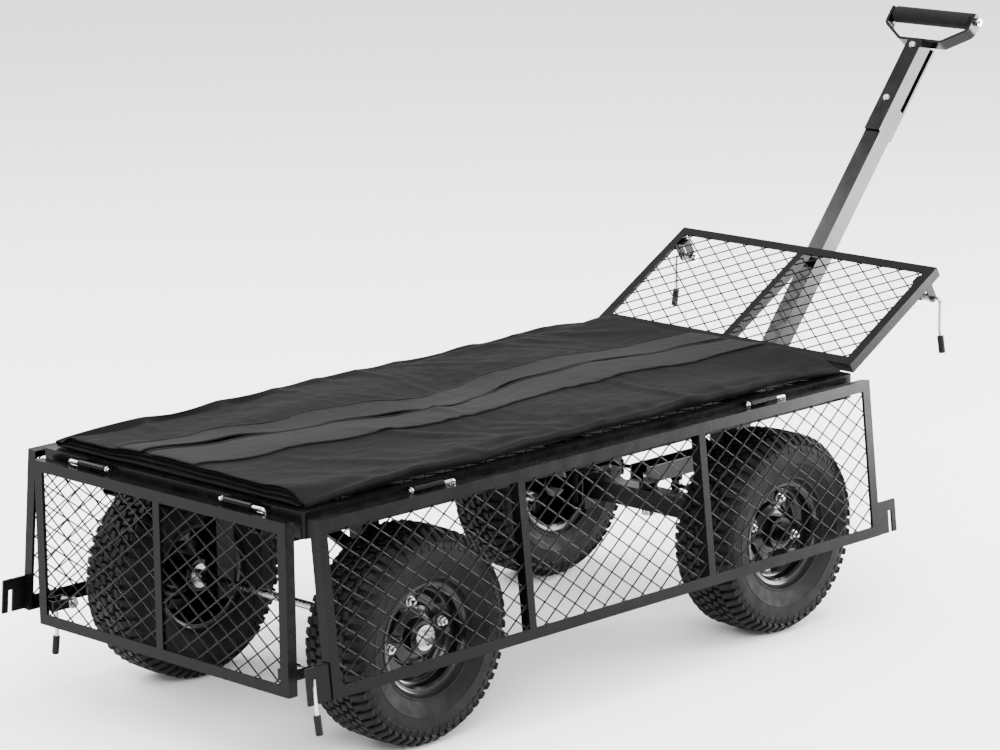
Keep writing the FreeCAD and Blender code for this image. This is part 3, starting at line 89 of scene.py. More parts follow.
class Recipe:
    """Node material put together step by step round one Principled shader."""

    def __init__(self, name: str) -> None:
        """Starts an empty material.

        Args:
            name: Name of the finish.
        """
        self.material = bpy.data.materials.new(name)
        self.material.use_nodes = True
        self.tree = self.material.node_tree
        self.tree.nodes.clear()
        self.shader = self.node("ShaderNodeBsdfPrincipled")
        output = self.node("ShaderNodeOutputMaterial")
        self.link(self.shader.outputs["BSDF"], output.inputs["Surface"])
        self.places = self.node("ShaderNodeTexCoord")

    def node(self, kind: str, **settings: object) -> bpy.types.Node:
        """Adds a node and sets its properties.

        Args:
            kind: Blender's name of the node.
            settings: Properties of the node.

        Returns:
            The new node.
        """
        made = self.tree.nodes.new(kind)
        for key, value in settings.items():
            setattr(made, key, value)
        return made

    def link(self, source: Socket, target: Socket) -> None:
        """Joins two sockets."""
        self.tree.links.new(source, target)

    def feed(self, target: Socket, value: object) -> None:
        """Links a socket, or sets a plain value, on a target socket.

        Args:
            target: Socket that takes the value.
            value: Socket to link, or a plain value.
        """
        if isinstance(value, Socket):
            self.link(value, target)
        else:
            target.default_value = value

    def shader_values(self, **values: object) -> None:
        """Sets plain values on the shader's own sockets, with spaces written as underscores."""
        for key, value in values.items():
            self.shader.inputs[key.replace("_", " ").title().replace("Ior", "IOR")].default_value = value

    def noise(
        self, scale: float, detail: float = 3.0, stretch: Sequence[float] = (1, 1, 1), uv: bool = False,
    ) -> Socket:
        """Noise value on object places or on the piece's own cloth map.

        Args:
            scale: Features per metre.
            detail: Octaves.
            stretch: Scale of each direction.
            uv: True to follow the cloth map.

        Returns:
            The noise factor socket.
        """
        mapping = self.node("ShaderNodeMapping")
        mapping.inputs["Scale"].default_value = stretch
        self.link(self.places.outputs["UV" if uv else "Object"], mapping.inputs["Vector"])
        texture = self.node("ShaderNodeTexNoise")
        self.link(mapping.outputs["Vector"], texture.inputs["Vector"])
        texture.inputs["Scale"].default_value = scale
        texture.inputs["Detail"].default_value = detail
        return texture.outputs["Fac"]

    def remap(self, source: Socket, low: float, high: float, to_low: float, to_high: float) -> Socket:
        """Maps a range of a value to another range, clamped.

        Args:
            source: Value to map.
            low: Start of its range.
            high: End of its range.
            to_low: Result at the start.
            to_high: Result at the end.

        Returns:
            The mapped value socket.
        """
        made = self.node("ShaderNodeMapRange")
        self.link(source, made.inputs["Value"])
        for socket, value in zip(("From Min", "From Max", "To Min", "To Max"), (low, high, to_low, to_high)):
            made.inputs[socket].default_value = value
        return made.outputs["Result"]

    def math(self, operation: str, first: object, second: object = 0.0) -> Socket:
        """Result of one arithmetic step on sockets or numbers.

        Args:
            operation: Arithmetic step.
            first: First number or socket.
            second: Second number or socket.

        Returns:
            The result socket.
        """
        made = self.node("ShaderNodeMath", operation=operation)
        self.feed(made.inputs[0], first)
        self.feed(made.inputs[1], second)
        return made.outputs[0]

    def mix(self, factor: object, first: object, second: object) -> Socket:
        """Colour between two colours or colour sockets.

        Args:
            factor: Share of the second colour.
            first: Colour at 0.
            second: Colour at 1.

        Returns:
            The colour socket.
        """
        made = self.node("ShaderNodeMix", data_type="RGBA")
        self.feed(made.inputs[0], factor)
        self.feed(made.inputs[6], first)
        self.feed(made.inputs[7], second)
        return made.outputs[2]

    def upward(self) -> Socket:
        """How much the surface faces up, from -1 to 1.

        Returns:
            The value socket.
        """
        split = self.node("ShaderNodeSeparateXYZ")
        self.link(self.places.outputs["Normal"], split.inputs[0])
        return split.outputs["Z"]

    def bump(self, *layers: tuple[Socket, float, float]) -> None:
        """Chains bump layers, each a height, a strength and a distance in metres.

        Args:
            layers: Layers from the lowest to the top one.
        """
        normal = None
        for height, strength, distance in layers:
            made = self.node("ShaderNodeBump")
            made.inputs["Strength"].default_value = strength
            made.inputs["Distance"].default_value = distance
            self.link(height, made.inputs["Height"])
            if normal is not None:
                self.link(normal, made.inputs["Normal"])
            normal = made.outputs["Normal"]
        self.link(normal, self.shader.inputs["Normal"])

    def paint(self, colour: Socket, roughness: Socket) -> None:
        """Links the surface colour and roughness to the shader."""
        self.link(colour, self.shader.inputs["Base Color"])
        self.link(roughness, self.shader.inputs["Roughness"])


@dataclass(frozen=True)
class Coating:
    """Black coat on steel, from textured powder to smooth gloss."""

    name: str
    tone: float = 0.0011
    roughness: float = 0.25
    peel_scale: float = 620.0
    peel_strength: float = 0.16
    coat: float = 0.03
    gloss_level: float = 0.055
    dust: float = 0.12

    def make(self) -> bpy.types.Material:
        """Builds the coat with orange peel, uneven sheen and a little dust on top faces.

        Returns:
            The material.
        """
        recipe = Recipe(self.name)
        cloud = recipe.noise(7.0, 4.0)
        colour = recipe.mix(recipe.remap(cloud, 0.35, 0.7, 0, 1), grey(self.tone), grey(self.tone * 1.7, -0.02))
        specks = recipe.remap(recipe.noise(160.0, 6.0), 0.55, 0.75, 0, 1)
        lying = recipe.remap(recipe.upward(), 0.5, 1.0, 0, self.dust)
        colour = recipe.mix(recipe.math("MULTIPLY", specks, lying), colour, grey(0.016, 0.04))
        streaks = recipe.noise(26.0, 5.0)
        recipe.paint(colour, recipe.remap(streaks, 0.3, 0.75, self.roughness - 0.05, self.roughness + 0.1))
        recipe.shader_values(coat_weight=self.coat, coat_roughness=0.12, specular_ior_level=self.gloss_level)
        peel = recipe.noise(self.peel_scale, 2.0)
        recipe.bump((peel, self.peel_strength, 0.0005), (recipe.noise(55.0, 3.0), 0.08, 0.001))
        return recipe.material


@dataclass(frozen=True)
class ZincPlate:
    """Bright zinc plate on pins, levers, washers and bolts."""

    name: str
    roughness: float = 0.2

    def make(self) -> bpy.types.Material:
        """Builds the plate with a faint yellow and blue cast, dull patches and fine scratches.

        Returns:
            The material.
        """
        recipe = Recipe(self.name)
        cast = recipe.remap(recipe.noise(60.0, 4.0), 0.35, 0.7, 0, 1)
        colour = recipe.mix(cast, (0.47, 0.465, 0.45, 1), (0.36, 0.37, 0.39, 1))
        spots = recipe.remap(recipe.noise(420.0, 4.0), 0.62, 0.78, 0, 0.5)
        colour = recipe.mix(spots, colour, (0.17, 0.165, 0.15, 1))
        scuffs = recipe.noise(150.0, 6.0)
        recipe.paint(colour, recipe.remap(scuffs, 0.3, 0.75, self.roughness - 0.06, self.roughness + 0.16))
        recipe.shader_values(metallic=1.0)
        recipe.bump((recipe.noise(240.0, 6.0, (1, 6, 1)), 0.12, 0.0003))
        return recipe.material


@dataclass(frozen=True)
class MouldedRubber:
    """Vulcanised rubber, with paler scuffed tops and painted shade in the grooves, where a piece stores its tread
    depth.
    """

    name: str
    tone: float = 0.0025
    roughness: float = 0.6
    tread: bool = False

    def make(self) -> bpy.types.Material:
        """Builds the rubber with mould grain, bloom and, on a tyre, scuff wear on the tops and painted shade in the
        grooves, by tread depth.

        Returns:
            The material.
        """
        recipe = Recipe(self.name)
        bloom = recipe.remap(recipe.noise(19.0, 5.0), 0.35, 0.75, 0, 1)
        colour = recipe.mix(bloom, grey(self.tone, 0.02), grey(self.tone * 1.9, 0.03))
        if self.tread:
            depth = recipe.node("ShaderNodeAttribute", attribute_name="tread_depth")
            # Paler on the tread tops than in the grooves, by tread depth: scuff wear on the tops, painted shade in
            # the grooves.
            groove_shade_and_scuff = recipe.remap(depth.outputs["Fac"], 0.0, 0.009, 0, 1)
            colour = recipe.mix(groove_shade_and_scuff, recipe.mix(bloom, grey(0.0058, 0.02), grey(0.0095, 0.03)), colour)
        specks = recipe.remap(recipe.noise(260.0, 5.0), 0.6, 0.75, 0, 0.4)
        colour = recipe.mix(specks, colour, grey(0.016, 0.05))
        wear = recipe.noise(45.0, 5.0)
        recipe.paint(colour, recipe.remap(wear, 0.3, 0.75, self.roughness - 0.08, self.roughness + 0.14))
        recipe.shader_values(specular_ior_level=0.10)
        recipe.bump((recipe.noise(900.0, 3.0), 0.2, 0.0005), (recipe.noise(90.0, 4.0), 0.15, 0.0012))
        return recipe.material


@dataclass(frozen=True)
class GripFoam:
    """Closed-cell foam of the hand grip."""

    name: str
    cell_scale: float = 520.0

    def make(self) -> bpy.types.Material:
        """Builds the foam from small pits, darker towards their bottoms as painted shade, with a soft matt surface.

        Returns:
            The material.
        """
        recipe = Recipe(self.name)
        cells = recipe.node("ShaderNodeTexVoronoi")
        cells.inputs["Scale"].default_value = self.cell_scale
        recipe.link(recipe.places.outputs["Object"], cells.inputs["Vector"])
        pits = recipe.remap(cells.outputs["Distance"], 0.0, 0.5, 0, 1)
        # Darkest at the bottom of each pit: painted shade in the pits.
        colour = recipe.mix(pits, grey(0.0015), grey(0.0050, 0.02))
        recipe.paint(colour, recipe.remap(recipe.noise(60.0), 0.3, 0.7, 0.82, 0.95))
        recipe.shader_values(sheen_weight=0.015, sheen_roughness=0.5, specular_ior_level=0.08)
        recipe.bump((pits, 0.55, 0.0006), (recipe.noise(40.0, 4.0), 0.2, 0.002))
        return recipe.material


@dataclass(frozen=True)
class Polyester:
    """Woven polyester of the liner, with stitching where a band is sewn."""

    name: str
    tone: float = 0.0012
    threads: float = 1150.0
    sheen: float = 0.005
    stitch_lines: tuple[float, ...] = ()
    stitch_length: float = 0.0042
    stitch_share: float = 0.66
    thread_half_width: float = 0.0007

    def make(self) -> bpy.types.Material:
        """Builds the cloth from a plain weave on the piece's own cloth map.

        Returns:
            The material.
        """
        recipe = Recipe(self.name)
        crossing = [recipe.node("ShaderNodeTexWave", bands_direction=way) for way in ("X", "Y")]
        for wave in crossing:
            recipe.link(recipe.places.outputs["UV"], wave.inputs["Vector"])
            wave.inputs["Scale"].default_value = self.threads / math.tau
            wave.inputs["Distortion"].default_value = 0.4
            wave.inputs["Detail Scale"].default_value = 3.0
        weave = recipe.math("MULTIPLY", crossing[0].outputs["Fac"], crossing[1].outputs["Fac"])
        slubs = recipe.remap(recipe.noise(90.0, 5.0, (1, 0.15, 1), uv=True), 0.35, 0.7, 0, 1)
        colour = recipe.mix(slubs, grey(self.tone, -0.01), grey(self.tone * 1.5, -0.02))
        # Lighter on the raised thread crossings: painted highlight on the weave.
        colour = recipe.mix(recipe.remap(weave, 0, 1, 0, 0.6), colour, grey(self.tone * 2.2, -0.01))
        lint = recipe.remap(recipe.noise(330.0, 6.0, uv=True), 0.68, 0.8, 0, 0.5)
        colour = recipe.mix(lint, colour, grey(0.014, 0.02))
        layers = [(weave, 0.35, 0.0004), (recipe.noise(34.0, 5.0, uv=True), 0.35, 0.004)]
        if self.stitch_lines:
            stitches = self.stitches(recipe)
            colour = recipe.mix(stitches, colour, grey(self.tone * 3.4))
            layers.append((stitches, 0.7, 0.0008))
        recipe.paint(colour, recipe.remap(slubs, 0, 1, 0.62, 0.78))
        recipe.shader_values(sheen_weight=self.sheen, sheen_roughness=0.45, specular_ior_level=0.04)
        recipe.bump(*layers)
        return recipe.material

    def stitches(self, recipe: Recipe) -> Socket:
        """Mask of sewn dashes along lines at fixed distances across the cloth.

        Args:
            recipe: Material under construction.

        Returns:
            A value of 1 on thread and 0 elsewhere.
        """
        split = recipe.node("ShaderNodeSeparateXYZ")
        recipe.link(recipe.places.outputs["UV"], split.inputs[0])
        across = recipe.math("ABSOLUTE", split.outputs["X"])
        along = recipe.math("FRACT", recipe.math("DIVIDE", split.outputs["Y"], self.stitch_length))
        dash = recipe.math("LESS_THAN", along, self.stitch_share)
        total: object = 0.0
        for line in self.stitch_lines:
            away = recipe.math("ABSOLUTE", recipe.math("SUBTRACT", across, line))
            near = recipe.math("LESS_THAN", away, self.thread_half_width)
            total = recipe.math("MAXIMUM", near, total)
        return recipe.math("MULTIPLY", total, dash)


@dataclass(frozen=True)
class StudioFloor:
    """Pale matt floor of the studio."""

    name: str = "studio_floor_pale"

    def make(self) -> bpy.types.Material:
        """Builds a nearly white surface with a very faint mottling.

        Returns:
            The material.
        """
        recipe = Recipe(self.name)
        colour = recipe.mix(recipe.noise(1.5, 3.0), grey(0.93, 0.0), grey(0.95, 0.0))
        recipe.paint(colour, recipe.remap(recipe.noise(30.0), 0.3, 0.7, 0.75, 0.85))
        recipe.bump((recipe.noise(300.0), 0.02, 0.0005))
        return recipe.material


@dataclass(frozen=True)
class ClothCut:
    """Flat cut of the liner: base, rounded folds and walls."""

    half_base: float = 0.3150
    half_length: float = 0.6820
    fold_radius: float = 0.0085
    wall_reach: float = 0.3350

    @property
    def half_cloth(self) -> float:
        """Half the width of the flat cloth."""
        return self.half_base + math.pi * self.fold_radius + self.wall_reach


class Finishes:
    """All finishes of the cart, made once."""

    def __init__(self, cut: ClothCut) -> None:
        """Builds every material.

        Args:
            cut: Cut of the liner, which places its stitches.
        """
        self.powder = Coating("frame_powder_black").make()
        self.gloss = Coating(
            "handle_gloss_black", tone=0.0012, roughness=0.12, peel_scale=210.0, peel_strength=0.05, coat=0.06,
            gloss_level=0.12, dust=0.03,
        ).make()
        self.rim = Coating(
            "rim_gloss_black", tone=0.0016, roughness=0.18, peel_scale=260.0, peel_strength=0.08, coat=0.08,
            gloss_level=0.18, dust=0.1,
        ).make()
        self.wire = Coating(
            "mesh_wire_black", tone=0.0016, roughness=0.26, peel_scale=500.0, peel_strength=0.1, gloss_level=0.09,
            dust=0.04,
        ).make()
        self.zinc = ZincPlate("bright_zinc").make()
        self.tyre = MouldedRubber("tyre_rubber_black", tread=True).make()
        self.rubber = MouldedRubber("grip_rubber_black", tone=0.0040, roughness=0.48).make()
        self.foam = GripFoam("grip_foam_black").make()
        self.cloth = Polyester("liner_cloth_black").make()
        stitch_lines = tuple(cut.half_cloth - inset for inset in (0.006, 0.010))
        self.band = Polyester("liner_band_charcoal", tone=0.0050, sheen=0.012, stitch_lines=stitch_lines).make()


def flat_loop(bm: BMesh, points: Sequence[Point2], closed: bool) -> list:
    """Lays a profile of (x, radius) points in the XZ plane.

    Args:
        bm: Mesh under construction.
        points: Profile in metres.
        closed: True to join the last point to the first.

    Returns:
        The new vertices and edges.
    """
    verts = [bm.verts.new((x, 0.0, radius)) for x, radius in points]
    pairs = list(zip(verts, verts[1:])) + ([(verts[-1], verts[0])] if closed else [])
    return verts + [bm.edges.new(pair) for pair in pairs]


def spin_x(bm: BMesh, geometry: list, angle: float, steps: int, advance: float = 0.0, **how: bool) -> None:
    """Spins geometry about the X axis.

    Args:
        bm: Mesh under construction.
        geometry: Vertices, edges and faces to spin.
        angle: Whole turn in radians.
        steps: Steps in the turn.
        advance: Shift along the axis at every step.
        how: Other settings of the spin.
    """
    bmesh.ops.spin(
        bm, geom=geometry, cent=(0, 0, 0), axis=(1, 0, 0), dvec=(advance, 0, 0), angle=angle, steps=steps, **how,
    )


def spin_round_x(bm: BMesh, geometry: list, steps: int) -> None:
    """Spins a profile a full turn about the X axis and points its faces outwards.

    Args:
        bm: Mesh under construction.
        geometry: Vertices and edges of the profile.
        steps: Steps in the turn.
    """
    spin_x(bm, geometry, math.tau, steps, use_merge=True)
    bmesh.ops.remove_doubles(bm, verts=bm.verts, dist=1e-6)
    bmesh.ops.recalc_face_normals(bm, faces=bm.faces)


def to_mesh(bm: BMesh, name: str) -> bpy.types.Mesh:
    """Turns a finished bmesh into a mesh and frees it.

    Args:
        bm: Finished bmesh.
        name: Name of the mesh.

    Returns:
        The mesh.
    """
    mesh = bpy.data.meshes.new(name)
    bm.to_mesh(mesh)
    bm.free()
    return mesh


def add_object(
    mesh: bpy.types.Mesh, name: str, material: bpy.types.Material, sharp: float = 35.0,
) -> bpy.types.Object:
    """Links a mesh to the scene as a smooth piece with one finish.

    Args:
        mesh: Mesh of the piece.
        name: Name of the piece.
        material: Its finish.
        sharp: Angle in degrees above which an edge stays sharp.

    Returns:
        The new object, at the origin.
    """
    mesh.materials.clear()
    mesh.materials.append(material)
    mesh.polygons.foreach_set("use_smooth", [True] * len(mesh.polygons))
    mesh.set_sharp_from_angle(angle=math.radians(sharp))
    piece = bpy.data.objects.new(name, mesh)
    bpy.context.scene.collection.objects.link(piece)
    return piece


def to_object(bm: BMesh, name: str, material: bpy.types.Material, sharp: float = 35.0) -> bpy.types.Object:
    """Turns a finished bmesh into a piece with one finish."""
    return add_object(to_mesh(bm, name), name, material, sharp)


def settle(piece: bpy.types.Object, body: str, slot: Slot, *nodes: str) -> bpy.types.Object:
    """Rides a piece on its body, hides the nodes it stands for and reports it.

    Args:
        piece: Piece to settle.
        body: Body that carries it.
        slot: Finish slot of the record; not used.
        nodes: CAD nodes that it stands for.

    Returns:
        The same piece.
    """
    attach(piece, body)
    if nodes:
        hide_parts(*nodes)
    LOG.info("made %s on %s, %d faces", piece.name, body, len(piece.data.polygons))
    return piece


def middle(node: str) -> Vector:
    """Centre of a node's box at rest."""
    low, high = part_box(node)
    return (Vector(low) + Vector(high)) / 2


class CarriedNodes:
    """CAD nodes that keep their shape and get a finish."""

    def __init__(self, finishes: Finishes) -> None:
        """Keeps the finishes to hand out.

        Args:
            finishes: Every finish of the cart.
        """
        self.by_ending: list[tuple[tuple[str, ...], bpy.types.Material]] = [
            (("latch_grip",), finishes.rubber),
            (("hand_grip",), finishes.foam),
            (("tyre",), finishes.tyre),
            (("rim",), finishes.rim),
            (("liner",), finishes.cloth),
            (("handle_shaft", "handle_straps", "handle_yoke", "drawbar"), finishes.gloss),
            (("floor_mesh", "panel_mesh"), finishes.wire),
            (
                ("bearings", "fasteners", "steering_pins", "hinge_pins", "pin_clips", "bolts", "bolt", "hitch_pins",
                 "latch_lever", "rear_axle"),
                finishes.zinc,
            ),
        ]
        self.rest = finishes.powder

    def dress(self) -> None:
        """Assigns a finish to every node by the ending of its name."""
        for name, node in frame["nodes"].items():
            finish = next((material for endings, material in self.by_ending if name.endswith(endings)), self.rest)
            for held in node.material_slots:
                held.material = finish
            LOG.info("dressed %s in %s", name, finish.name)


@dataclass
class TurfTyre:
    """Pneumatic tyre with rows of small blocks and lugs over its shoulders."""

    radius: float = 0.1898
    half_width: float = 0.0655
    bead_radius: float = 0.0885
    wall: float = 0.007
    groove_shade_and_scuff: float = 0.0068
    pitches: int = 58
    row_places: tuple[float, ...] = (-0.0335, -0.0168, 0.0, 0.0168, 0.0335)
    row_drop: float = 0.0016
    block: tuple[float, float, float] = (0.0128, 0.0150, 0.0125)
    slant: float = 0.34
    chamfer: float = 0.0016
    shoulder_rows: tuple[tuple[tuple[float, float, float], Point2, float, float, float], ...] = (
        ((0.0270, 0.0125, 0.0110), (0.0525, 0.1770), 36.0, 0.2, 0.0018),
        ((0.0140, 0.0105, 0.0050), (0.0622, 0.1630), 74.0, 0.0, 0.0012),
    )

    def section(self) -> list[Point2]:
        """Outer skin of the carcass from bead to bead, with two raised rings on each sidewall.

        Returns:
            Points of (x, radius) from the left bead to the right one.
        """
        floor = self.radius - self.groove_shade_and_scuff
        side = [
            (0.0420, self.bead_radius), (0.0432, 0.0960), (0.0475, 0.1005), (0.0520, 0.1035),
            (0.0545, 0.1040), (0.0553, 0.1062), (0.0545, 0.1085), (0.0590, 0.1180), (0.0632, 0.1300),
            (0.0646, 0.1340), (0.0652, 0.1348), (0.0653, 0.1372), (0.0648, 0.1380),
            (self.half_width - 0.0003, 0.1480), (self.half_width - 0.0008, 0.1580), (0.0625, 0.1680),
            (0.0570, 0.1752), (0.0480, 0.1798), (0.0330, floor - 0.0008), (0.0160, floor - 0.0001),
        ]
        return side + [(0.0, floor)] + [(-x, r) for x, r in reversed(side)]

    def carcass(self) -> BMesh:
        """Spins the closed section with its inner skin.

        Returns:
            The carcass, as a bmesh.
        """
        outer = self.section()
        inner = [(x * 0.88, max(r - self.wall, self.bead_radius)) for x, r in outer if r > 0.105]
        bm = bmesh.new()
        spin_round_x(bm, flat_loop(bm, outer + list(reversed(inner)), closed=True), 116)
        return bm

    def repeat(self, bm: BMesh, made: list, offset: float) -> None:
        """Turns new geometry to its first pitch and repeats it round the tyre.

        Args:
            bm: Mesh under construction.
            made: Vertices of the block.
            offset: Part of a pitch by which the row is shifted.
        """
        step = math.tau / self.pitches
        bmesh.ops.rotate(bm, verts=made, cent=(0, 0, 0), matrix=Matrix.Rotation(offset * step, 3, "X"))
        faces = list(dict.fromkeys(face for vert in made for face in vert.link_faces))
        edges = list(dict.fromkeys(edge for vert in made for edge in vert.link_edges))
        spin_x(bm, made + edges + faces, math.tau - step, self.pitches - 1, use_duplicate=True)

    def block_at(
        self, bm: BMesh, size: Sequence[float], place: Vector, lean: float, skew: float, chamfer: float,
    ) -> list:
        """Makes one block with chamfered outer edges.

        Args:
            bm: Mesh under construction.
            size: Width, length round the tyre and height.
            place: Middle of the block.
            lean: Turn about the Y axis in degrees, along the shoulder.
            skew: Sideways shift per length, which makes a slanted block.
            chamfer: Width of the chamfer.

        Returns:
            The block's vertices.
        """
        earlier = set(bm.verts)
        cube = bmesh.ops.create_cube(bm, size=1.0)["verts"]
        tops = [edge for edge in bm.edges if edge.verts[0] in cube and all(v.co.z > 0 for v in edge.verts)]
        bmesh.ops.scale(bm, vec=size, verts=cube)
        bmesh.ops.bevel(bm, geom=tops, offset=chamfer, segments=1, profile=0.5, affect="EDGES", material=-1)
        verts = [vert for vert in bm.verts if vert not in earlier]
        shear = Matrix.Identity(4)
        shear[0][1] = skew
        turn = Matrix.Translation(place) @ Matrix.Rotation(math.radians(lean), 4, "Y")
        bmesh.ops.transform(bm, matrix=turn @ shear, verts=verts)
        return verts

    def build(self) -> bpy.types.Mesh:
        """Builds the whole tyre at the origin, with its tread depth stored on its points.

        Returns:
            The tyre mesh.
        """
        bm = self.carcass()
        for index, x in enumerate(self.row_places):
            skew = self.slant if index % 2 else -self.slant
            drop = self.row_drop * (abs(x) / self.row_places[-1]) ** 2
            place = Vector((x, 0, self.radius - drop - self.block[2] / 2))
            self.repeat(bm, self.block_at(bm, self.block, place, 0.0, skew, self.chamfer), (index % 2) / 2)
        for side in (-1, 1):
            for size, (x, z), lean, skew, chamfer in self.shoulder_rows:
                lug = self.block_at(bm, size, Vector((side * x, 0, z)), side * lean, side * skew, chamfer)
                self.repeat(bm, lug, 0.25)
        mesh = to_mesh(bm, "turf_tyre")
        depth = mesh.attributes.new("tread_depth", "FLOAT", "POINT")
        depth.data.foreach_set("value", [self.radius - math.hypot(v.co.y, v.co.z) for v in mesh.vertices])
        return mesh


@dataclass
class PressedRim:
    """Two-part steel rim with rolled lips, a pressed disc with four pockets, a hub and four clamp bolts."""

    half_width: float = 0.0460
    lip_radius: float = 0.0985
    well_radius: float = 0.0780
    metal: float = 0.0030
    disc_x: float = 0.0260
    hub_radius: float = 0.0310
    hub_half: float = 0.0440
    hub_bore: float = 0.0200
    pocket_depth: float = 0.0085
    bolt_circle: float = 0.0630
    bolt_across: float = 0.0082

    def barrel(self, bm: BMesh) -> None:
        """Spins the barrel with its rolled lips.

        Args:
            bm: Mesh under construction.
        """
        half, well = self.half_width, self.well_radius
        lip = [
            (half - 0.0022, 0.0925), (half - 0.0022, 0.0965), (half - 0.0008, self.lip_radius),
            (half + 0.0012, 0.0984),
        ]
        skin = [
            (half + 0.0020, 0.0968), (half + 0.0012, 0.0948), (half + 0.0004, 0.0900),
            (half - 0.0035, 0.0862), (half - 0.0140, 0.0848), (half - 0.0230, 0.0835),
            (half - 0.0300, well + 0.0010), (half - 0.0360, well),
        ]
        seat = [(half - 0.0055, 0.0892), (half - 0.0150, 0.0878)]
        profile = [(-x, r) for x, r in skin] + skin[::-1] + lip[::-1]
        profile += seat + [(-x, r) for x, r in reversed(seat)] + [(-x, r) for x, r in lip]
        spin_round_x(bm, flat_loop(bm, profile, closed=True), 96)

    def disc(self) -> BMesh:
        """Spins the disc, presses its pockets and gives it the metal's thickness.

        Returns:
            The disc, as a bmesh.
        """
        bm = bmesh.new()
        shape = [
            (0.0300, 0.0008), (0.0345, 0.0010), (0.0385, 0.0), (0.0425, -0.0028), (0.0465, -0.0046),
            (0.0510, -0.0050), (0.0560, -0.0050), (0.0610, -0.0050), (0.0660, -0.0050), (0.0710, -0.0048),
            (0.0750, -0.0036), (0.0785, -0.0012), (0.0815, 0.0010), (0.0850, 0.0020),
        ]
        points = [(self.disc_x + rise, radius) for radius, rise in shape]
        spin_x(bm, flat_loop(bm, points, closed=False), math.tau, 112, use_merge=True)
        bmesh.ops.remove_doubles(bm, verts=bm.verts, dist=1e-6)
        for vert in bm.verts:
            bmesh.ops.translate(bm, vec=(-self.pocket_depth * self.pocket_share(vert.co), 0, 0), verts=[vert])
        bmesh.ops.recalc_face_normals(bm, faces=bm.faces)
        bmesh.ops.solidify(bm, geom=bm.faces[:], thickness=self.metal)
        return bm

    def pocket_share(self, place: Vector) -> float:
        """Share of the full pocket depth at a place on the disc, from 0 to 1.

        Args:
            place: Place on the disc.

        Returns:
            The share.
        """
        radius = math.hypot(place.y, place.z)
        turn = math.degrees(math.atan2(place.z, place.y)) % 90.0 - 45.0
        across = 1.0 - abs(radius - 0.0640) / 0.0135
        round_way = 1.0 - abs(turn) / 31.0
        depth = min(across * 3.0, round_way * 4.5, 1.0)
        return max(depth, 0.0) ** 0.8

    def hub(self, bm: BMesh) -> None:
        """Spins the hub tube with its stepped ends.

        Args:
            bm: Mesh under construction.
        """
        half, outer = self.hub_half, self.hub_radius
        points = [
            (-half, self.hub_bore), (-half, outer - 0.0015), (-half + 0.0015, outer), (half - 0.0015, outer),
            (half, outer - 0.0015), (half, self.hub_bore), (half - 0.0150, self.hub_bore),
            (half - 0.0150, 0.0110), (-half + 0.0150, 0.0110), (-half + 0.0150, self.hub_bore),
        ]
        spin_round_x(bm, flat_loop(bm, points, closed=True), 64)

    def build(self) -> bpy.types.Mesh:
        """Joins barrel, disc and hub into one mesh at the origin.

        Returns:
            The rim mesh.
        """
        mesh = bpy.data.meshes.new("pressed_rim")
        bm = self.disc()
        for make in (self.barrel, self.hub):
            part = bmesh.new()
            make(part)
            part.to_mesh(mesh)
            part.free()
            bm.from_mesh(mesh)
        bm.to_mesh(mesh)
        bm.free()
        return mesh

    def bolts(self) -> bpy.types.Mesh:
        """Four clamp bolts with washers, nuts and rounded ends.

        Returns:
            One mesh with all four bolts.
        """
        bm = bmesh.new()
        stack = ((24, 0.0092, 0.0016, 0.0008), (6, self.bolt_across, 0.0062, 0.0047), (16, 0.0040, 0.0110, 0.0086))
        for sides, radius, depth, middle_x in stack:
            for turn in range(4):
                angle = math.radians(90.0 * turn)
                around = Vector((0.0, math.cos(angle), math.sin(angle))) * self.bolt_circle
                place = Vector((self.disc_x - 0.0050 + middle_x, around.y, around.z))
                upright = Matrix.Rotation(math.radians(90), 4, "Y") @ Matrix.Rotation(0.3 * turn, 4, "Z")
                verts = bmesh.ops.create_cone(
                    bm, cap_ends=True, segments=sides, radius1=radius, radius2=radius, depth=depth,
                    matrix=Matrix.Translation(place) @ upright,
                )["verts"]
                own = [edge for edge in bm.edges if edge.verts[0] in verts]
                rims = [edge for edge in own if abs(edge.verts[0].co.x - edge.verts[1].co.x) < 1e-6]
                bmesh.ops.bevel(bm, geom=rims, offset=0.0006, segments=2, profile=0.5, affect="EDGES", material=-1)
        return to_mesh(bm, "clamp_bolts")

    def valve(self) -> bpy.types.Mesh:
        """Rubber valve stem with a ribbed cap, leaning out of the barrel.

        Returns:
            The valve mesh.
        """
        profile = [
            (0.0, 0.0), (0.0, 0.0075), (0.0030, 0.0072), (0.0060, 0.0048), (0.0200, 0.0040), (0.0205, 0.0052),
            (0.0220, 0.0056), (0.0300, 0.0056), (0.0318, 0.0048), (0.0324, 0.0),
        ]
        bm = bmesh.new()
        spin_round_x(bm, flat_loop(bm, profile, closed=False), 24)
        lean = Matrix.Translation((self.disc_x - 0.004, 0.0, 0.0755)) @ Matrix.Rotation(math.radians(24), 4, "Y")
        bmesh.ops.transform(bm, matrix=lean, verts=bm.verts)
        bmesh.ops.rotate(bm, verts=bm.verts, cent=(0, 0, 0), matrix=Matrix.Rotation(math.radians(68), 3, "X"))
        return to_mesh(bm, "valve_stem")


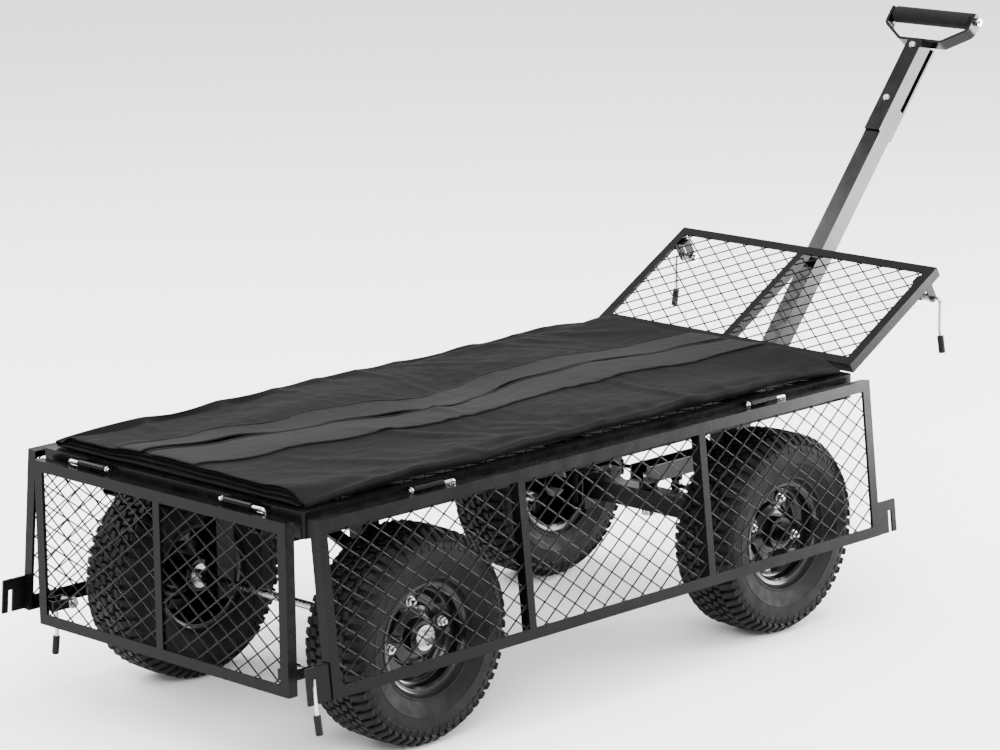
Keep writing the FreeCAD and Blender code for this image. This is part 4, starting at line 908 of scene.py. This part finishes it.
@dataclass
class WheelSet:
    """Four wheels that stand for the tyre and rim nodes."""

    finishes: Finishes
    turns: tuple[float, ...] = (11.0, 47.0, 73.0, 29.0)

    def build(self) -> None:
        """Places a copy of each wheel part at every corner."""
        tyre, rim = TurfTyre().build(), PressedRim().build()
        bolts, valve = PressedRim().bolts(), PressedRim().valve()
        for corner, turn in zip(Corner, self.turns):
            name = corner.value
            flip = Matrix.Rotation(math.pi if corner.is_left else 0.0, 4, "Z")
            place = Matrix.Translation(middle(f"{name}_tyre")) @ flip @ Matrix.Rotation(math.radians(turn), 4, "X")
            body = f"{name}_wheel"
            self.add(tyre, place, f"{name}_turf_tyre", self.finishes.tyre, body, Slot.TYRE, f"{name}_tyre")
            self.add(rim, place, f"{name}_pressed_rim", self.finishes.rim, body, Slot.RIM, f"{name}_rim")
            self.add(bolts, place, f"{name}_clamp_bolts", self.finishes.zinc, body, Slot.ZINC)
            self.add(valve, place, f"{name}_valve_stem", self.finishes.rubber, body, Slot.TYRE)

    def add(
        self, mesh: bpy.types.Mesh, place: Matrix, name: str, material: bpy.types.Material, body: str, slot: Slot,
        *nodes: str,
    ) -> None:
        """Copies a mesh to its place and settles the piece.

        Args:
            mesh: Wheel part at the origin.
            place: Where the wheel stands.
            name: Name of the piece.
            material: Its finish.
            body: Wheel body that carries it.
            slot: Finish slot of the record.
            nodes: CAD nodes that it stands for.
        """
        copy = mesh.copy()
        copy.transform(place)
        settle(add_object(copy, name, material, 30.0), body, slot, *nodes)


@dataclass
class LatchSprings:
    """Coil springs wound round the plain sleeves of the four latch rods."""

    finishes: Finishes
    coil_radius: float = 0.0064
    wire_radius: float = 0.00085
    turns: int = 8
    steps_a_turn: int = 18
    from_bend: float = 0.0207
    length: float = 0.0216

    def coil(self) -> bpy.types.Mesh:
        """Winds one closed wire along the X axis, centred on its length.

        Returns:
            The coil mesh.
        """
        bm = bmesh.new()
        ring = bmesh.ops.create_circle(bm, cap_ends=False, segments=6, radius=self.wire_radius)["verts"]
        bmesh.ops.rotate(bm, verts=ring, cent=(0, 0, 0), matrix=Matrix.Rotation(math.pi / 2, 3, "X"))
        bmesh.ops.translate(bm, verts=ring, vec=(-self.length / 2, 0, self.coil_radius))
        steps = self.turns * self.steps_a_turn
        spin_x(bm, bm.verts[:] + bm.edges[:], self.turns * math.tau, steps, self.length / steps)
        bmesh.ops.holes_fill(bm, edges=[edge for edge in bm.edges if edge.is_boundary], sides=0)
        bmesh.ops.recalc_face_normals(bm, faces=bm.faces)
        return to_mesh(bm, "latch_coil")

    def build(self) -> None:
        """Puts a coil on every latch rod."""
        coil = self.coil()
        for joint in frame["joints"]:
            if not joint["name"].endswith("_latch_swing"):
                continue
            x, y, z = joint["pos_m"]
            side = 1 if x > 0 else -1
            copy = coil.copy()
            copy.transform(Matrix.Translation((x - side * (self.from_bend + self.length / 2), y, z)))
            spring = add_object(copy, f"{joint['child']}_spring", self.finishes.zinc, 60.0)
            settle(spring, joint["child"], Slot.ZINC)


@dataclass
class WirePanel:
    """Welded diamond mesh of round wires in place of a flat pierced sheet."""

    node: str
    body: str
    run: Vector
    finishes: Finishes
    diamond: Point2 = (0.04907, 0.03584)
    wire_radius: float = 0.0014
    layer_gap: float = 0.0011
    tuck: float = 0.0010
    shortest: float = 0.006

    def plane(self) -> tuple[Vector, Vector, Vector]:
        """Directions along, across and through the sheet.

        Returns:
            Unit vectors, the last one the sheet's normal.
        """
        spread: dict[tuple[int, int, int], float] = {}
        normals: dict[tuple[int, int, int], Vector] = {}
        for face in frame["nodes"][self.node].data.polygons:
            key = tuple(round(abs(v) * 50) for v in face.normal)
            spread[key] = spread.get(key, 0.0) + face.area
            normals.setdefault(key, face.normal.copy())
        through = normals[max(spread, key=lambda key: spread[key])]
        along = self.run.normalized()
        through = (through - along * through.dot(along)).normalized()
        return along, through.cross(along).normalized(), through

    def build(self) -> None:
        """Lays both sets of wires, clips each to the sheet's outline and settles the piece."""
        along, across, through = self.plane()
        places = [v.co for v in frame["nodes"][self.node].data.vertices]
        reaches = [[place.dot(way) for place in places] for way in (along, across, through)]
        spans = [(min(values), max(values)) for values in reaches]
        centre = [sum(span) / 2 for span in spans]
        reach = [(span[1] - span[0]) / 2 - self.tuck for span in spans]
        wide, high = self.diamond
        bm = bmesh.new()
        count = math.ceil(reach[0] / wide + reach[1] / high) + 1
        for layer in (-1, 1):
            heading = Vector((wide, layer * high)).normalized()
            for index in range(-count, count):
                ends = self.clipped(Vector(((index + 0.5) * wide, 0.0)), heading, reach)
                if ends is None:
                    continue
                out = through * (centre[2] + layer * self.layer_gap)
                start, stop = (along * (centre[0] + end.x) + across * (centre[1] + end.y) + out for end in ends)
                self.wire(bm, start, stop)
        piece = to_object(bm, self.node.replace("mesh", "wires"), self.finishes.wire, 60.0)
        settle(piece, self.body, Slot.MESH, self.node)

    def clipped(
        self, through_point: Vector, heading: Vector, reach: Sequence[float],
    ) -> tuple[Vector, Vector] | None:
        """Part of a line inside the sheet's rectangle.

        Args:
            through_point: Point on the line.
            heading: Its direction.
            reach: Half sizes of the rectangle.

        Returns:
            Both ends, or None where the line misses the sheet or is too short to weld.
        """
        low, high = -1e9, 1e9
        for axis in (0, 1):
            sides = sorted((limit - through_point[axis]) / heading[axis] for limit in (-reach[axis], reach[axis]))
            low, high = max(low, sides[0]), min(high, sides[1])
        if high - low < self.shortest:
            return None
        return through_point + heading * low, through_point + heading * high

    def wire(self, bm: BMesh, start: Vector, stop: Vector) -> None:
        """Adds one straight wire between two points.

        Args:
            bm: Mesh under construction.
            start: Middle of the wire's first end.
            stop: Middle of its other end.
        """
        run = stop - start
        matrix = Matrix.Translation((start + stop) / 2) @ run.to_track_quat("Z", "Y").to_matrix().to_4x4()
        bmesh.ops.create_cone(
            bm, cap_ends=True, segments=8, radius1=self.wire_radius, radius2=self.wire_radius, depth=run.length,
            matrix=matrix,
        )


@dataclass
class FoldedLiner:
    """Bag liner folded flat on the deck, its side walls laid over the base with their bands in the middle."""

    finishes: Finishes
    cut: ClothCut
    band_width: float = 0.1150
    far_band_width: float = 0.0900
    cells: tuple[int, int] = (92, 92)
    frames: int = 30
    base_rise: float = 0.0012
    sheet_gap: float = 0.0012
    cloth_wall: float = 0.0010
    end_wall: float = 0.0012
    band_wall: float = 0.0016
    end_cells: tuple[int, int] = (96, 14)
    hem_radius: float = 0.0021
    edge_line: tuple[Point2, ...] = (
        (-0.70, -0.075), (-0.50, -0.052), (-0.30, -0.030), (-0.16, 0.010), (-0.05, 0.034), (0.06, 0.004),
        (0.22, -0.012), (0.38, -0.014), (0.55, 0.018), (0.70, 0.042),
    )
    gap_line: tuple[Point2, ...] = (
        (-0.70, 0.004), (-0.60, 0.022), (-0.48, 0.030), (-0.38, 0.004), (-0.28, 0.014), (-0.16, 0.034),
        (-0.07, 0.003), (0.02, 0.012), (0.14, 0.026), (0.30, 0.018), (0.40, 0.003), (0.70, 0.010),
    )
    floor: float = field(init=False)
    centre_y: float = field(init=False)

    def __post_init__(self) -> None:
        """Reads the deck's height and its middle from the liner's node."""
        low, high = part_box("liner")
        self.floor, self.centre_y = low[2], (low[1] + high[1]) / 2

    def free_edge(self, side: int, along: float) -> float:
        """Where a wall's free edge lies across the cart, wandering along its length.

        Args:
            side: 1 for the right wall, -1 for the left one.
            along: Place along the cart.

        Returns:
            The place across the cart.
        """
        line = self.follow(self.edge_line, along) + 0.005 * math.sin(31.0 * along)
        gap = max(self.follow(self.gap_line, along), 0.003)
        return line - (gap if side < 0 else 0.0)

    def follow(self, line: Sequence[Point2], along: float) -> float:
        """Smooth value of a line of (place along, value) points.

        Args:
            line: Points in rising order.
            along: Place to read the line at.

        Returns:
            The value there.
        """
        for (start, low), (stop, high) in zip(line, line[1:]):
            if along <= stop:
                share = min(max((along - start) / (stop - start), 0.0), 1.0)
                return low + (high - low) * share * share * (3 - 2 * share)
        return line[-1][1]

    def stuffing(self, across: float, along: float) -> float:
        """Height of the folded cloth inside the bundle above the base.

        Args:
            across: Place across the cart.
            along: Place along the cart.

        Returns:
            The height in metres.
        """
        rim = min((self.cut.half_base - 0.006 - abs(across)) / 0.030, 1.0)
        if rim <= 0:
            return 0.0
        lumps = 0.5 + noise.noise(Vector((across * 6.5 + 3.1, along * 4.2 + 1.7, 0.4)))
        ends = min(max(0.0, (abs(along) - 0.50) / 0.16), 1.0) ** 2
        middle_line = math.exp(-((across + 0.01) / 0.085) ** 2)
        puckers = 0.6 + 0.8 * abs(noise.noise(Vector((across * 14, 5.0, along))))
        height = 0.0075 + 0.0115 * max(lumps, 0.0) + 0.0115 * ends * puckers + 0.0030 * middle_line
        return max(height, 0.001) * math.sin(rim * math.pi / 2)

    def folded_place(self, across: float, along: float) -> Vector:
        """Place of a point of the flat cloth once it is folded.

        Args:
            across: Distance from the middle of the flat cloth.
            along: Distance from its middle the other way.

        Returns:
            The point in the cart's frame.
        """
        side = 1 if across > 0 else -1
        width, low = abs(across), self.floor + self.base_rise
        arc = math.pi * self.cut.fold_radius
        inward = 0.004 * noise.noise(Vector((along * 6.0, side * 3.0, 1.0)))
        if width <= self.cut.half_base:
            return Vector((across * (1 + inward / self.cut.half_base), self.centre_y + along, low))
        edge = self.cut.half_base + inward
        if width <= self.cut.half_base + arc:
            angle = (width - self.cut.half_base) / self.cut.fold_radius
            rise = self.cut.fold_radius * (1 - math.cos(angle))
            x = side * (edge + self.cut.fold_radius * math.sin(angle))
            return Vector((x, self.centre_y + along, low + rise))
        share = (width - self.cut.half_base - arc) / self.cut.wall_reach
        x = side * edge + (self.free_edge(side, along) - side * edge) * share
        lift = self.stuffing(x, along) * min(share * 14.0, 1.0)
        ripple = 0.0050 * noise.noise(Vector((x * 6.0, along * 3.0, side * 2.0))) * min(share * 6, 1.0)
        ridge = abs(noise.noise(Vector((x * 2.5 + along * 3.0, along * 5.0, side * 4.0))))
        ridges = 0.0075 * ridge * min(share * 5, 1.0)
        rise = max(2 * self.cut.fold_radius + ripple + ridges, lift + 0.0035 + ridges)
        return Vector((x, self.centre_y + along, low + rise))

    def sheet(self) -> bpy.types.Object:
        """Makes the folded cloth with its flat places as its map.

        Returns:
            The cloth piece.
        """
        bm = bmesh.new()
        bmesh.ops.create_grid(bm, x_segments=self.cells[0], y_segments=self.cells[1], size=1.0)
        layer = bm.loops.layers.uv.new("cloth_map")
        for face in bm.faces:
            for loop in face.loops:
                loop[layer].uv = (loop.vert.co.x * self.cut.half_cloth, loop.vert.co.y * self.cut.half_length)
        for vert in bm.verts:
            across, along = vert.co.x * self.cut.half_cloth, vert.co.y * self.cut.half_length
            vert.co = self.folded_place(across, along)
        return to_object(bm, "liner_bag_cloth", self.finishes.cloth, 180.0)

    def core(self) -> bpy.types.Object:
        """Makes the hidden body of folded cloth that the walls fall on, used only while they fall.

        Returns:
            The hidden body.
        """
        bm = bmesh.new()
        bmesh.ops.create_grid(bm, x_segments=70, y_segments=110, size=1.0)
        for vert in bm.verts:
            across, along = vert.co.x * (self.cut.half_base - 0.003), vert.co.y * (self.cut.half_length + 0.010)
            height = self.floor + self.base_rise + self.sheet_gap + self.stuffing(across, along)
            vert.co = Vector((across, self.centre_y + along, height))
        return to_object(bm, "folded_core", self.finishes.cloth)

    def drop(self, cloth: bpy.types.Object, core: bpy.types.Object) -> None:
        """Lets the walls fall on the core and keeps the result, with no end slid past its cut.

        Args:
            cloth: Folded cloth.
            core: Body that it falls on.
        """
        half_cells = self.cells[0] / 2
        fixed = int(half_cells * (self.cut.half_base - 0.002) / self.cut.half_cloth)
        held = cloth.vertex_groups.new(name="base")
        row = self.cells[0] + 1
        base = [v.index for v in cloth.data.vertices if abs(v.index % row - half_cells) <= fixed]
        held.add(base, 1.0, "REPLACE")
        core.modifiers.new("touch", "COLLISION")
        core.collision.thickness_outer = 0.001
        core.collision.cloth_friction = 12.0
        fall = cloth.modifiers.new("fall", "CLOTH")
        fall.settings.quality = 6
        fall.settings.mass = 0.2
        fall.settings.tension_stiffness = 14.0
        fall.settings.compression_stiffness = 10.0
        fall.settings.shear_stiffness = 8.0
        fall.settings.bending_stiffness = 1.2
        fall.settings.air_damping = 1.5
        fall.settings.shrink_min = -0.016
        fall.settings.vertex_group_mass = held.name
        fall.collision_settings.distance_min = self.sheet_gap
        fall.collision_settings.use_self_collision = True
        fall.collision_settings.self_distance_min = self.sheet_gap
        fall.point_cache.frame_start = 1
        fall.point_cache.frame_end = self.frames
        scene = bpy.context.scene
        for number in range(1, self.frames + 1):
            scene.frame_set(number)
        graph = bpy.context.evaluated_depsgraph_get()
        settled = bpy.data.meshes.new_from_object(
            cloth.evaluated_get(graph), preserve_all_data_layers=True, depsgraph=graph,
        )
        cloth.modifiers.clear()
        cloth.vertex_groups.clear()
        cloth.data = settled
        first, last = self.centre_y - self.cut.half_length, self.centre_y + self.cut.half_length
        for vert in settled.vertices:
            vert.co.y = min(max(vert.co.y, first), last)
        scene.frame_set(1)

    def bands(self, cloth: bpy.types.Object) -> bpy.types.Object:
        """Copies the cloth's strips next to both free edges as sewn bands just above it.

        Args:
            cloth: Settled cloth.

        Returns:
            The band piece.
        """
        bm = bmesh.new()
        bm.from_mesh(cloth.data)
        layer = bm.loops.layers.uv.active
        near, far = self.cut.half_cloth - self.band_width, self.cut.half_cloth - self.far_band_width
        outside = [face for face in bm.faces if any(-far < loop[layer].uv.x < near for loop in face.loops)]
        bmesh.ops.delete(bm, geom=outside, context="FACES")
        bmesh.ops.recalc_face_normals(bm, faces=bm.faces)
        if sum(face.normal.z for face in bm.faces) < 0:
            bmesh.ops.reverse_faces(bm, faces=bm.faces)
        bm.normal_update()
        for vert in bm.verts:
            vert.co += vert.normal * self.band_wall
        return to_object(bm, "liner_bag_bands", self.finishes.band, 180.0)

    def end_line(self, cloth: bpy.types.Object, end: int) -> list[Point2]:
        """Height of the folded walls along one end of the cloth.

        Args:
            cloth: Settled cloth.
            end: 1 for the end towards the handle, -1 for the other.

        Returns:
            Points of (place across, height), from left to right.
        """
        row = self.cells[0] + 1
        first = 0 if end < 0 else self.cells[1] * row
        flat_half = self.cut.half_base + math.pi * self.cut.fold_radius
        points = []
        for step in range(row):
            if abs(step / self.cells[0] * 2 - 1) * self.cut.half_cloth > flat_half:
                place = cloth.data.vertices[first + step].co
                points.append((place.x, place.z))
        return sorted(points)

    def ends(self, cloth: bpy.types.Object) -> bpy.types.Object:
        """Folds both short end walls in under the side walls as soft creased stacks.

        Args:
            cloth: Settled cloth.

        Returns:
            The piece with both end walls.
        """
        bm = bmesh.new()
        for end in (-1, 1):
            line = self.end_line(cloth, end)
            columns, rows = self.end_cells
            strip = bmesh.ops.create_grid(bm, x_segments=columns, y_segments=rows, size=1.0)["verts"]
            for vert in strip:
                across, share = vert.co.x * (self.cut.half_base - 0.004), (1 + vert.co.y) / 2
                low = self.floor + self.base_rise + self.sheet_gap
                top = max(self.follow(line, across) - self.sheet_gap, low + 0.006)
                wander = noise.noise(Vector((across * 7.0, end * 3.0, 2.0)))
                level = min(max(share + 0.16 * wander * math.sin(math.pi * share), 0.0), 1.0)
                crease = 0.0085 * math.sin(math.pi * 3 * share) ** 2 + 0.012 * (1 - share) ** 2
                pucker = 0.0030 * noise.noise(Vector((across * 22.0, share * 2.5, end * 5.0)))
                out = self.cut.half_length - 0.012 + crease + pucker * math.sin(math.pi * share)
                vert.co = Vector((across, self.centre_y + end * out, low + (top - low) * level))
        piece = to_object(bm, "liner_bag_ends", self.finishes.cloth, 180.0)
        self.thicken(piece, self.end_wall)
        return piece

    def hems(self, bands: bpy.types.Object) -> bpy.types.Object:
        """Rolls a narrow hem along the long edges of both bands.

        Args:
            bands: The bands before their thickness, whose long edges it follows.

        Returns:
            The hem piece.
        """
        bm = bmesh.new()
        bm.from_mesh(bands.data)
        layer = bm.loops.layers.uv.active
        reach = self.cut.half_length - 0.001
        border = [edge for edge in bm.edges if edge.is_boundary]
        runs = [edge for edge in border if any(abs(loop[layer].uv.y) <= reach for loop in self.both_loops(edge))]
        line = bpy.data.curves.new("liner_hem_line", "CURVE")
        line.dimensions = "3D"
        line.bevel_depth = self.hem_radius
        line.bevel_resolution = 1
        line.resolution_u = 4
        for chain in self.chains(runs):
            spline = line.splines.new("NURBS")
            spline.points.add(len(chain) - 1)
            for point, vert in zip(spline.points, chain):
                point.co = (vert.co.x, vert.co.y, vert.co.z + self.hem_radius * 0.4, 1.0)
            spline.order_u = 3
            spline.use_endpoint_u = True
        bm.free()
        line.use_fill_caps = True
        guide = bpy.data.objects.new("liner_hem_guide", line)
        mesh = bpy.data.meshes.new_from_object(guide)
        bpy.data.objects.remove(guide)
        return add_object(mesh, "liner_bag_hems", self.finishes.band, 60.0)

    def both_loops(self, edge: bmesh.types.BMEdge) -> list[bmesh.types.BMLoop]:
        """The two corners of a border edge on its one face."""
        loop = edge.link_loops[0]
        return [loop, loop.link_loop_next]

    def chains(self, edges: Sequence[bmesh.types.BMEdge]) -> list[list[bmesh.types.BMVert]]:
        """Orders border edges into runs of vertices, from the rear to the front.

        Args:
            edges: Border edges of several separate runs.

        Returns:
            One list of vertices for each run.
        """
        beside: dict[bmesh.types.BMVert, list[bmesh.types.BMVert]] = {}
        for edge in edges:
            for vert in edge.verts:
                beside.setdefault(vert, []).append(edge.other_vert(vert))
        starts = sorted((v for v, near in beside.items() if len(near) == 1), key=lambda v: (v.co.y, v.co.x))
        runs, seen = [], set()
        for start in starts:
            if start in seen:
                continue
            run = [start]
            while True:
                seen.add(run[-1])
                onward = [vert for vert in beside[run[-1]] if vert not in seen]
                if not onward:
                    break
                run.append(onward[0])
            runs.append(run)
        return runs

    def thicken(self, piece: bpy.types.Object, thickness: float) -> None:
        """Gives a cloth piece smooth folds and its thickness.

        Args:
            piece: Cloth piece.
            thickness: Thickness in metres.
        """
        smooth = piece.modifiers.new("smooth_folds", "SUBSURF")
        smooth.levels = smooth.render_levels = 1
        wall = piece.modifiers.new("cloth_wall", "SOLIDIFY")
        wall.thickness = thickness
        wall.offset = 0.0

    def build(self) -> None:
        cloth, core = self.sheet(), self.core()
        self.drop(cloth, core)
        bpy.data.objects.remove(core)
        cloth.data.materials.clear()
        cloth.data.materials.append(self.finishes.cloth)
        cloth.data.polygons.foreach_set("use_smooth", [True] * len(cloth.data.polygons))
        bands = self.bands(cloth)
        hems, ends = self.hems(bands), self.ends(cloth)
        self.thicken(bands, self.band_wall)
        self.thicken(cloth, self.cloth_wall)
        settle(cloth, "cart", Slot.CLOTH, "liner")
        for piece in (bands, hems, ends):
            settle(piece, "cart", Slot.CLOTH)


@dataclass
class Studio:
    """Pale floor, soft lights and the camera."""

    eye: tuple[float, float, float] = (4.8411, -5.1043, 2.0479)
    azimuth: float = 45.85
    elevation: float = 12.66
    roll: float = -0.87
    lens: float = 138.57
    shift: Point2 = (0.0756, 0.0046)

    def build(self) -> None:
        """Sets up the floor, the surround, the lights and the camera."""
        self.floor()
        self.surround()
        self.soft_light("key_window", (3.2, -4.2, 4.6), 3.4, 700.0)
        self.soft_light("left_window", (-4.8, -1.6, 3.6), 3.6, 420.0)
        self.soft_light("top_window", (0.2, 0.4, 5.4), 4.2, 560.0)
        self.soft_light("back_window", (1.5, 5.6, 3.2), 3.2, 520.0)
        self.soft_light("low_side_panel", (2.1, 3.0, 0.6), 1.2, 190.0)
        self.camera()

    def floor(self) -> None:
        """Makes the pale floor."""
        bm = bmesh.new()
        bmesh.ops.create_grid(bm, x_segments=8, y_segments=8, size=40.0)
        plane = to_object(bm, "studio_floor", StudioFloor().make())

    def surround(self) -> None:
        """Sets the even pale surround."""
        world = bpy.data.worlds.new("studio_surround")
        world.use_nodes = True
        background = world.node_tree.nodes["Background"]
        background.inputs["Color"].default_value = (0.94, 0.95, 0.96, 1)
        background.inputs["Strength"].default_value = 2.0
        bpy.context.scene.world = world

    def soft_light(self, name: str, place: Sequence[float], size: float, power: float) -> None:
        """Adds a large soft light that faces the cart.

        Args:
            name: Name of the light.
            place: Where it stands.
            size: Side of its square.
            power: Power in watts.
        """
        data = bpy.data.lights.new(name, "AREA")
        data.size, data.energy = size, power
        light = bpy.data.objects.new(name, data)
        light.location = place
        light.visible_camera = False
        light.rotation_euler = (Vector((0, 0, 0.3)) - Vector(place)).to_track_quat("-Z", "Y").to_euler()
        bpy.context.scene.collection.objects.link(light)

    def camera(self) -> None:
        """Places the camera, with its slight roll."""
        turn, rise, roll = (math.radians(v) for v in (self.azimuth, self.elevation, self.roll))
        back = Vector((math.sin(turn) * math.cos(rise), -math.cos(turn) * math.cos(rise), math.sin(rise)))
        right = Vector((math.cos(turn), math.sin(turn), 0.0))
        up = back.cross(right)
        rolled_right = right * math.cos(roll) + up * math.sin(roll)
        rolled_up = up * math.cos(roll) - right * math.sin(roll)
        data = bpy.data.cameras.new("studio_camera")
        data.lens, data.sensor_width = self.lens, 36.0
        data.shift_x, data.shift_y = self.shift
        camera = bpy.data.objects.new("studio_camera", data)
        turned = Matrix((rolled_right, rolled_up, back)).transposed().to_4x4()
        camera.matrix_world = Matrix.Translation(Vector(self.eye)) @ turned
        bpy.context.scene.collection.objects.link(camera)
        bpy.context.scene.camera = camera


def main() -> None:
    """Builds the cart's looks in order: finishes, carried nodes, wheels, wires, liner and studio."""
    logging.basicConfig(level=logging.INFO, format="%(name)s: %(message)s")
    cut = ClothCut()
    finishes = Finishes(cut)
    Studio().build()
    CarriedNodes(finishes).dress()
    WheelSet(finishes).build()
    ends, sides = Vector((1, 0, 0)), Vector((0, 1, 0))
    WirePanel("deck_floor_mesh", "cart", sides, finishes).build()
    for name, run in (("rear", ends), ("front", ends), ("right", sides), ("left", sides)):
        WirePanel(f"{name}_panel_mesh", f"{name}_panel", run, finishes).build()
    LatchSprings(finishes).build()
    FoldedLiner(finishes, cut).build()


if __name__ == "__main__":
    main()
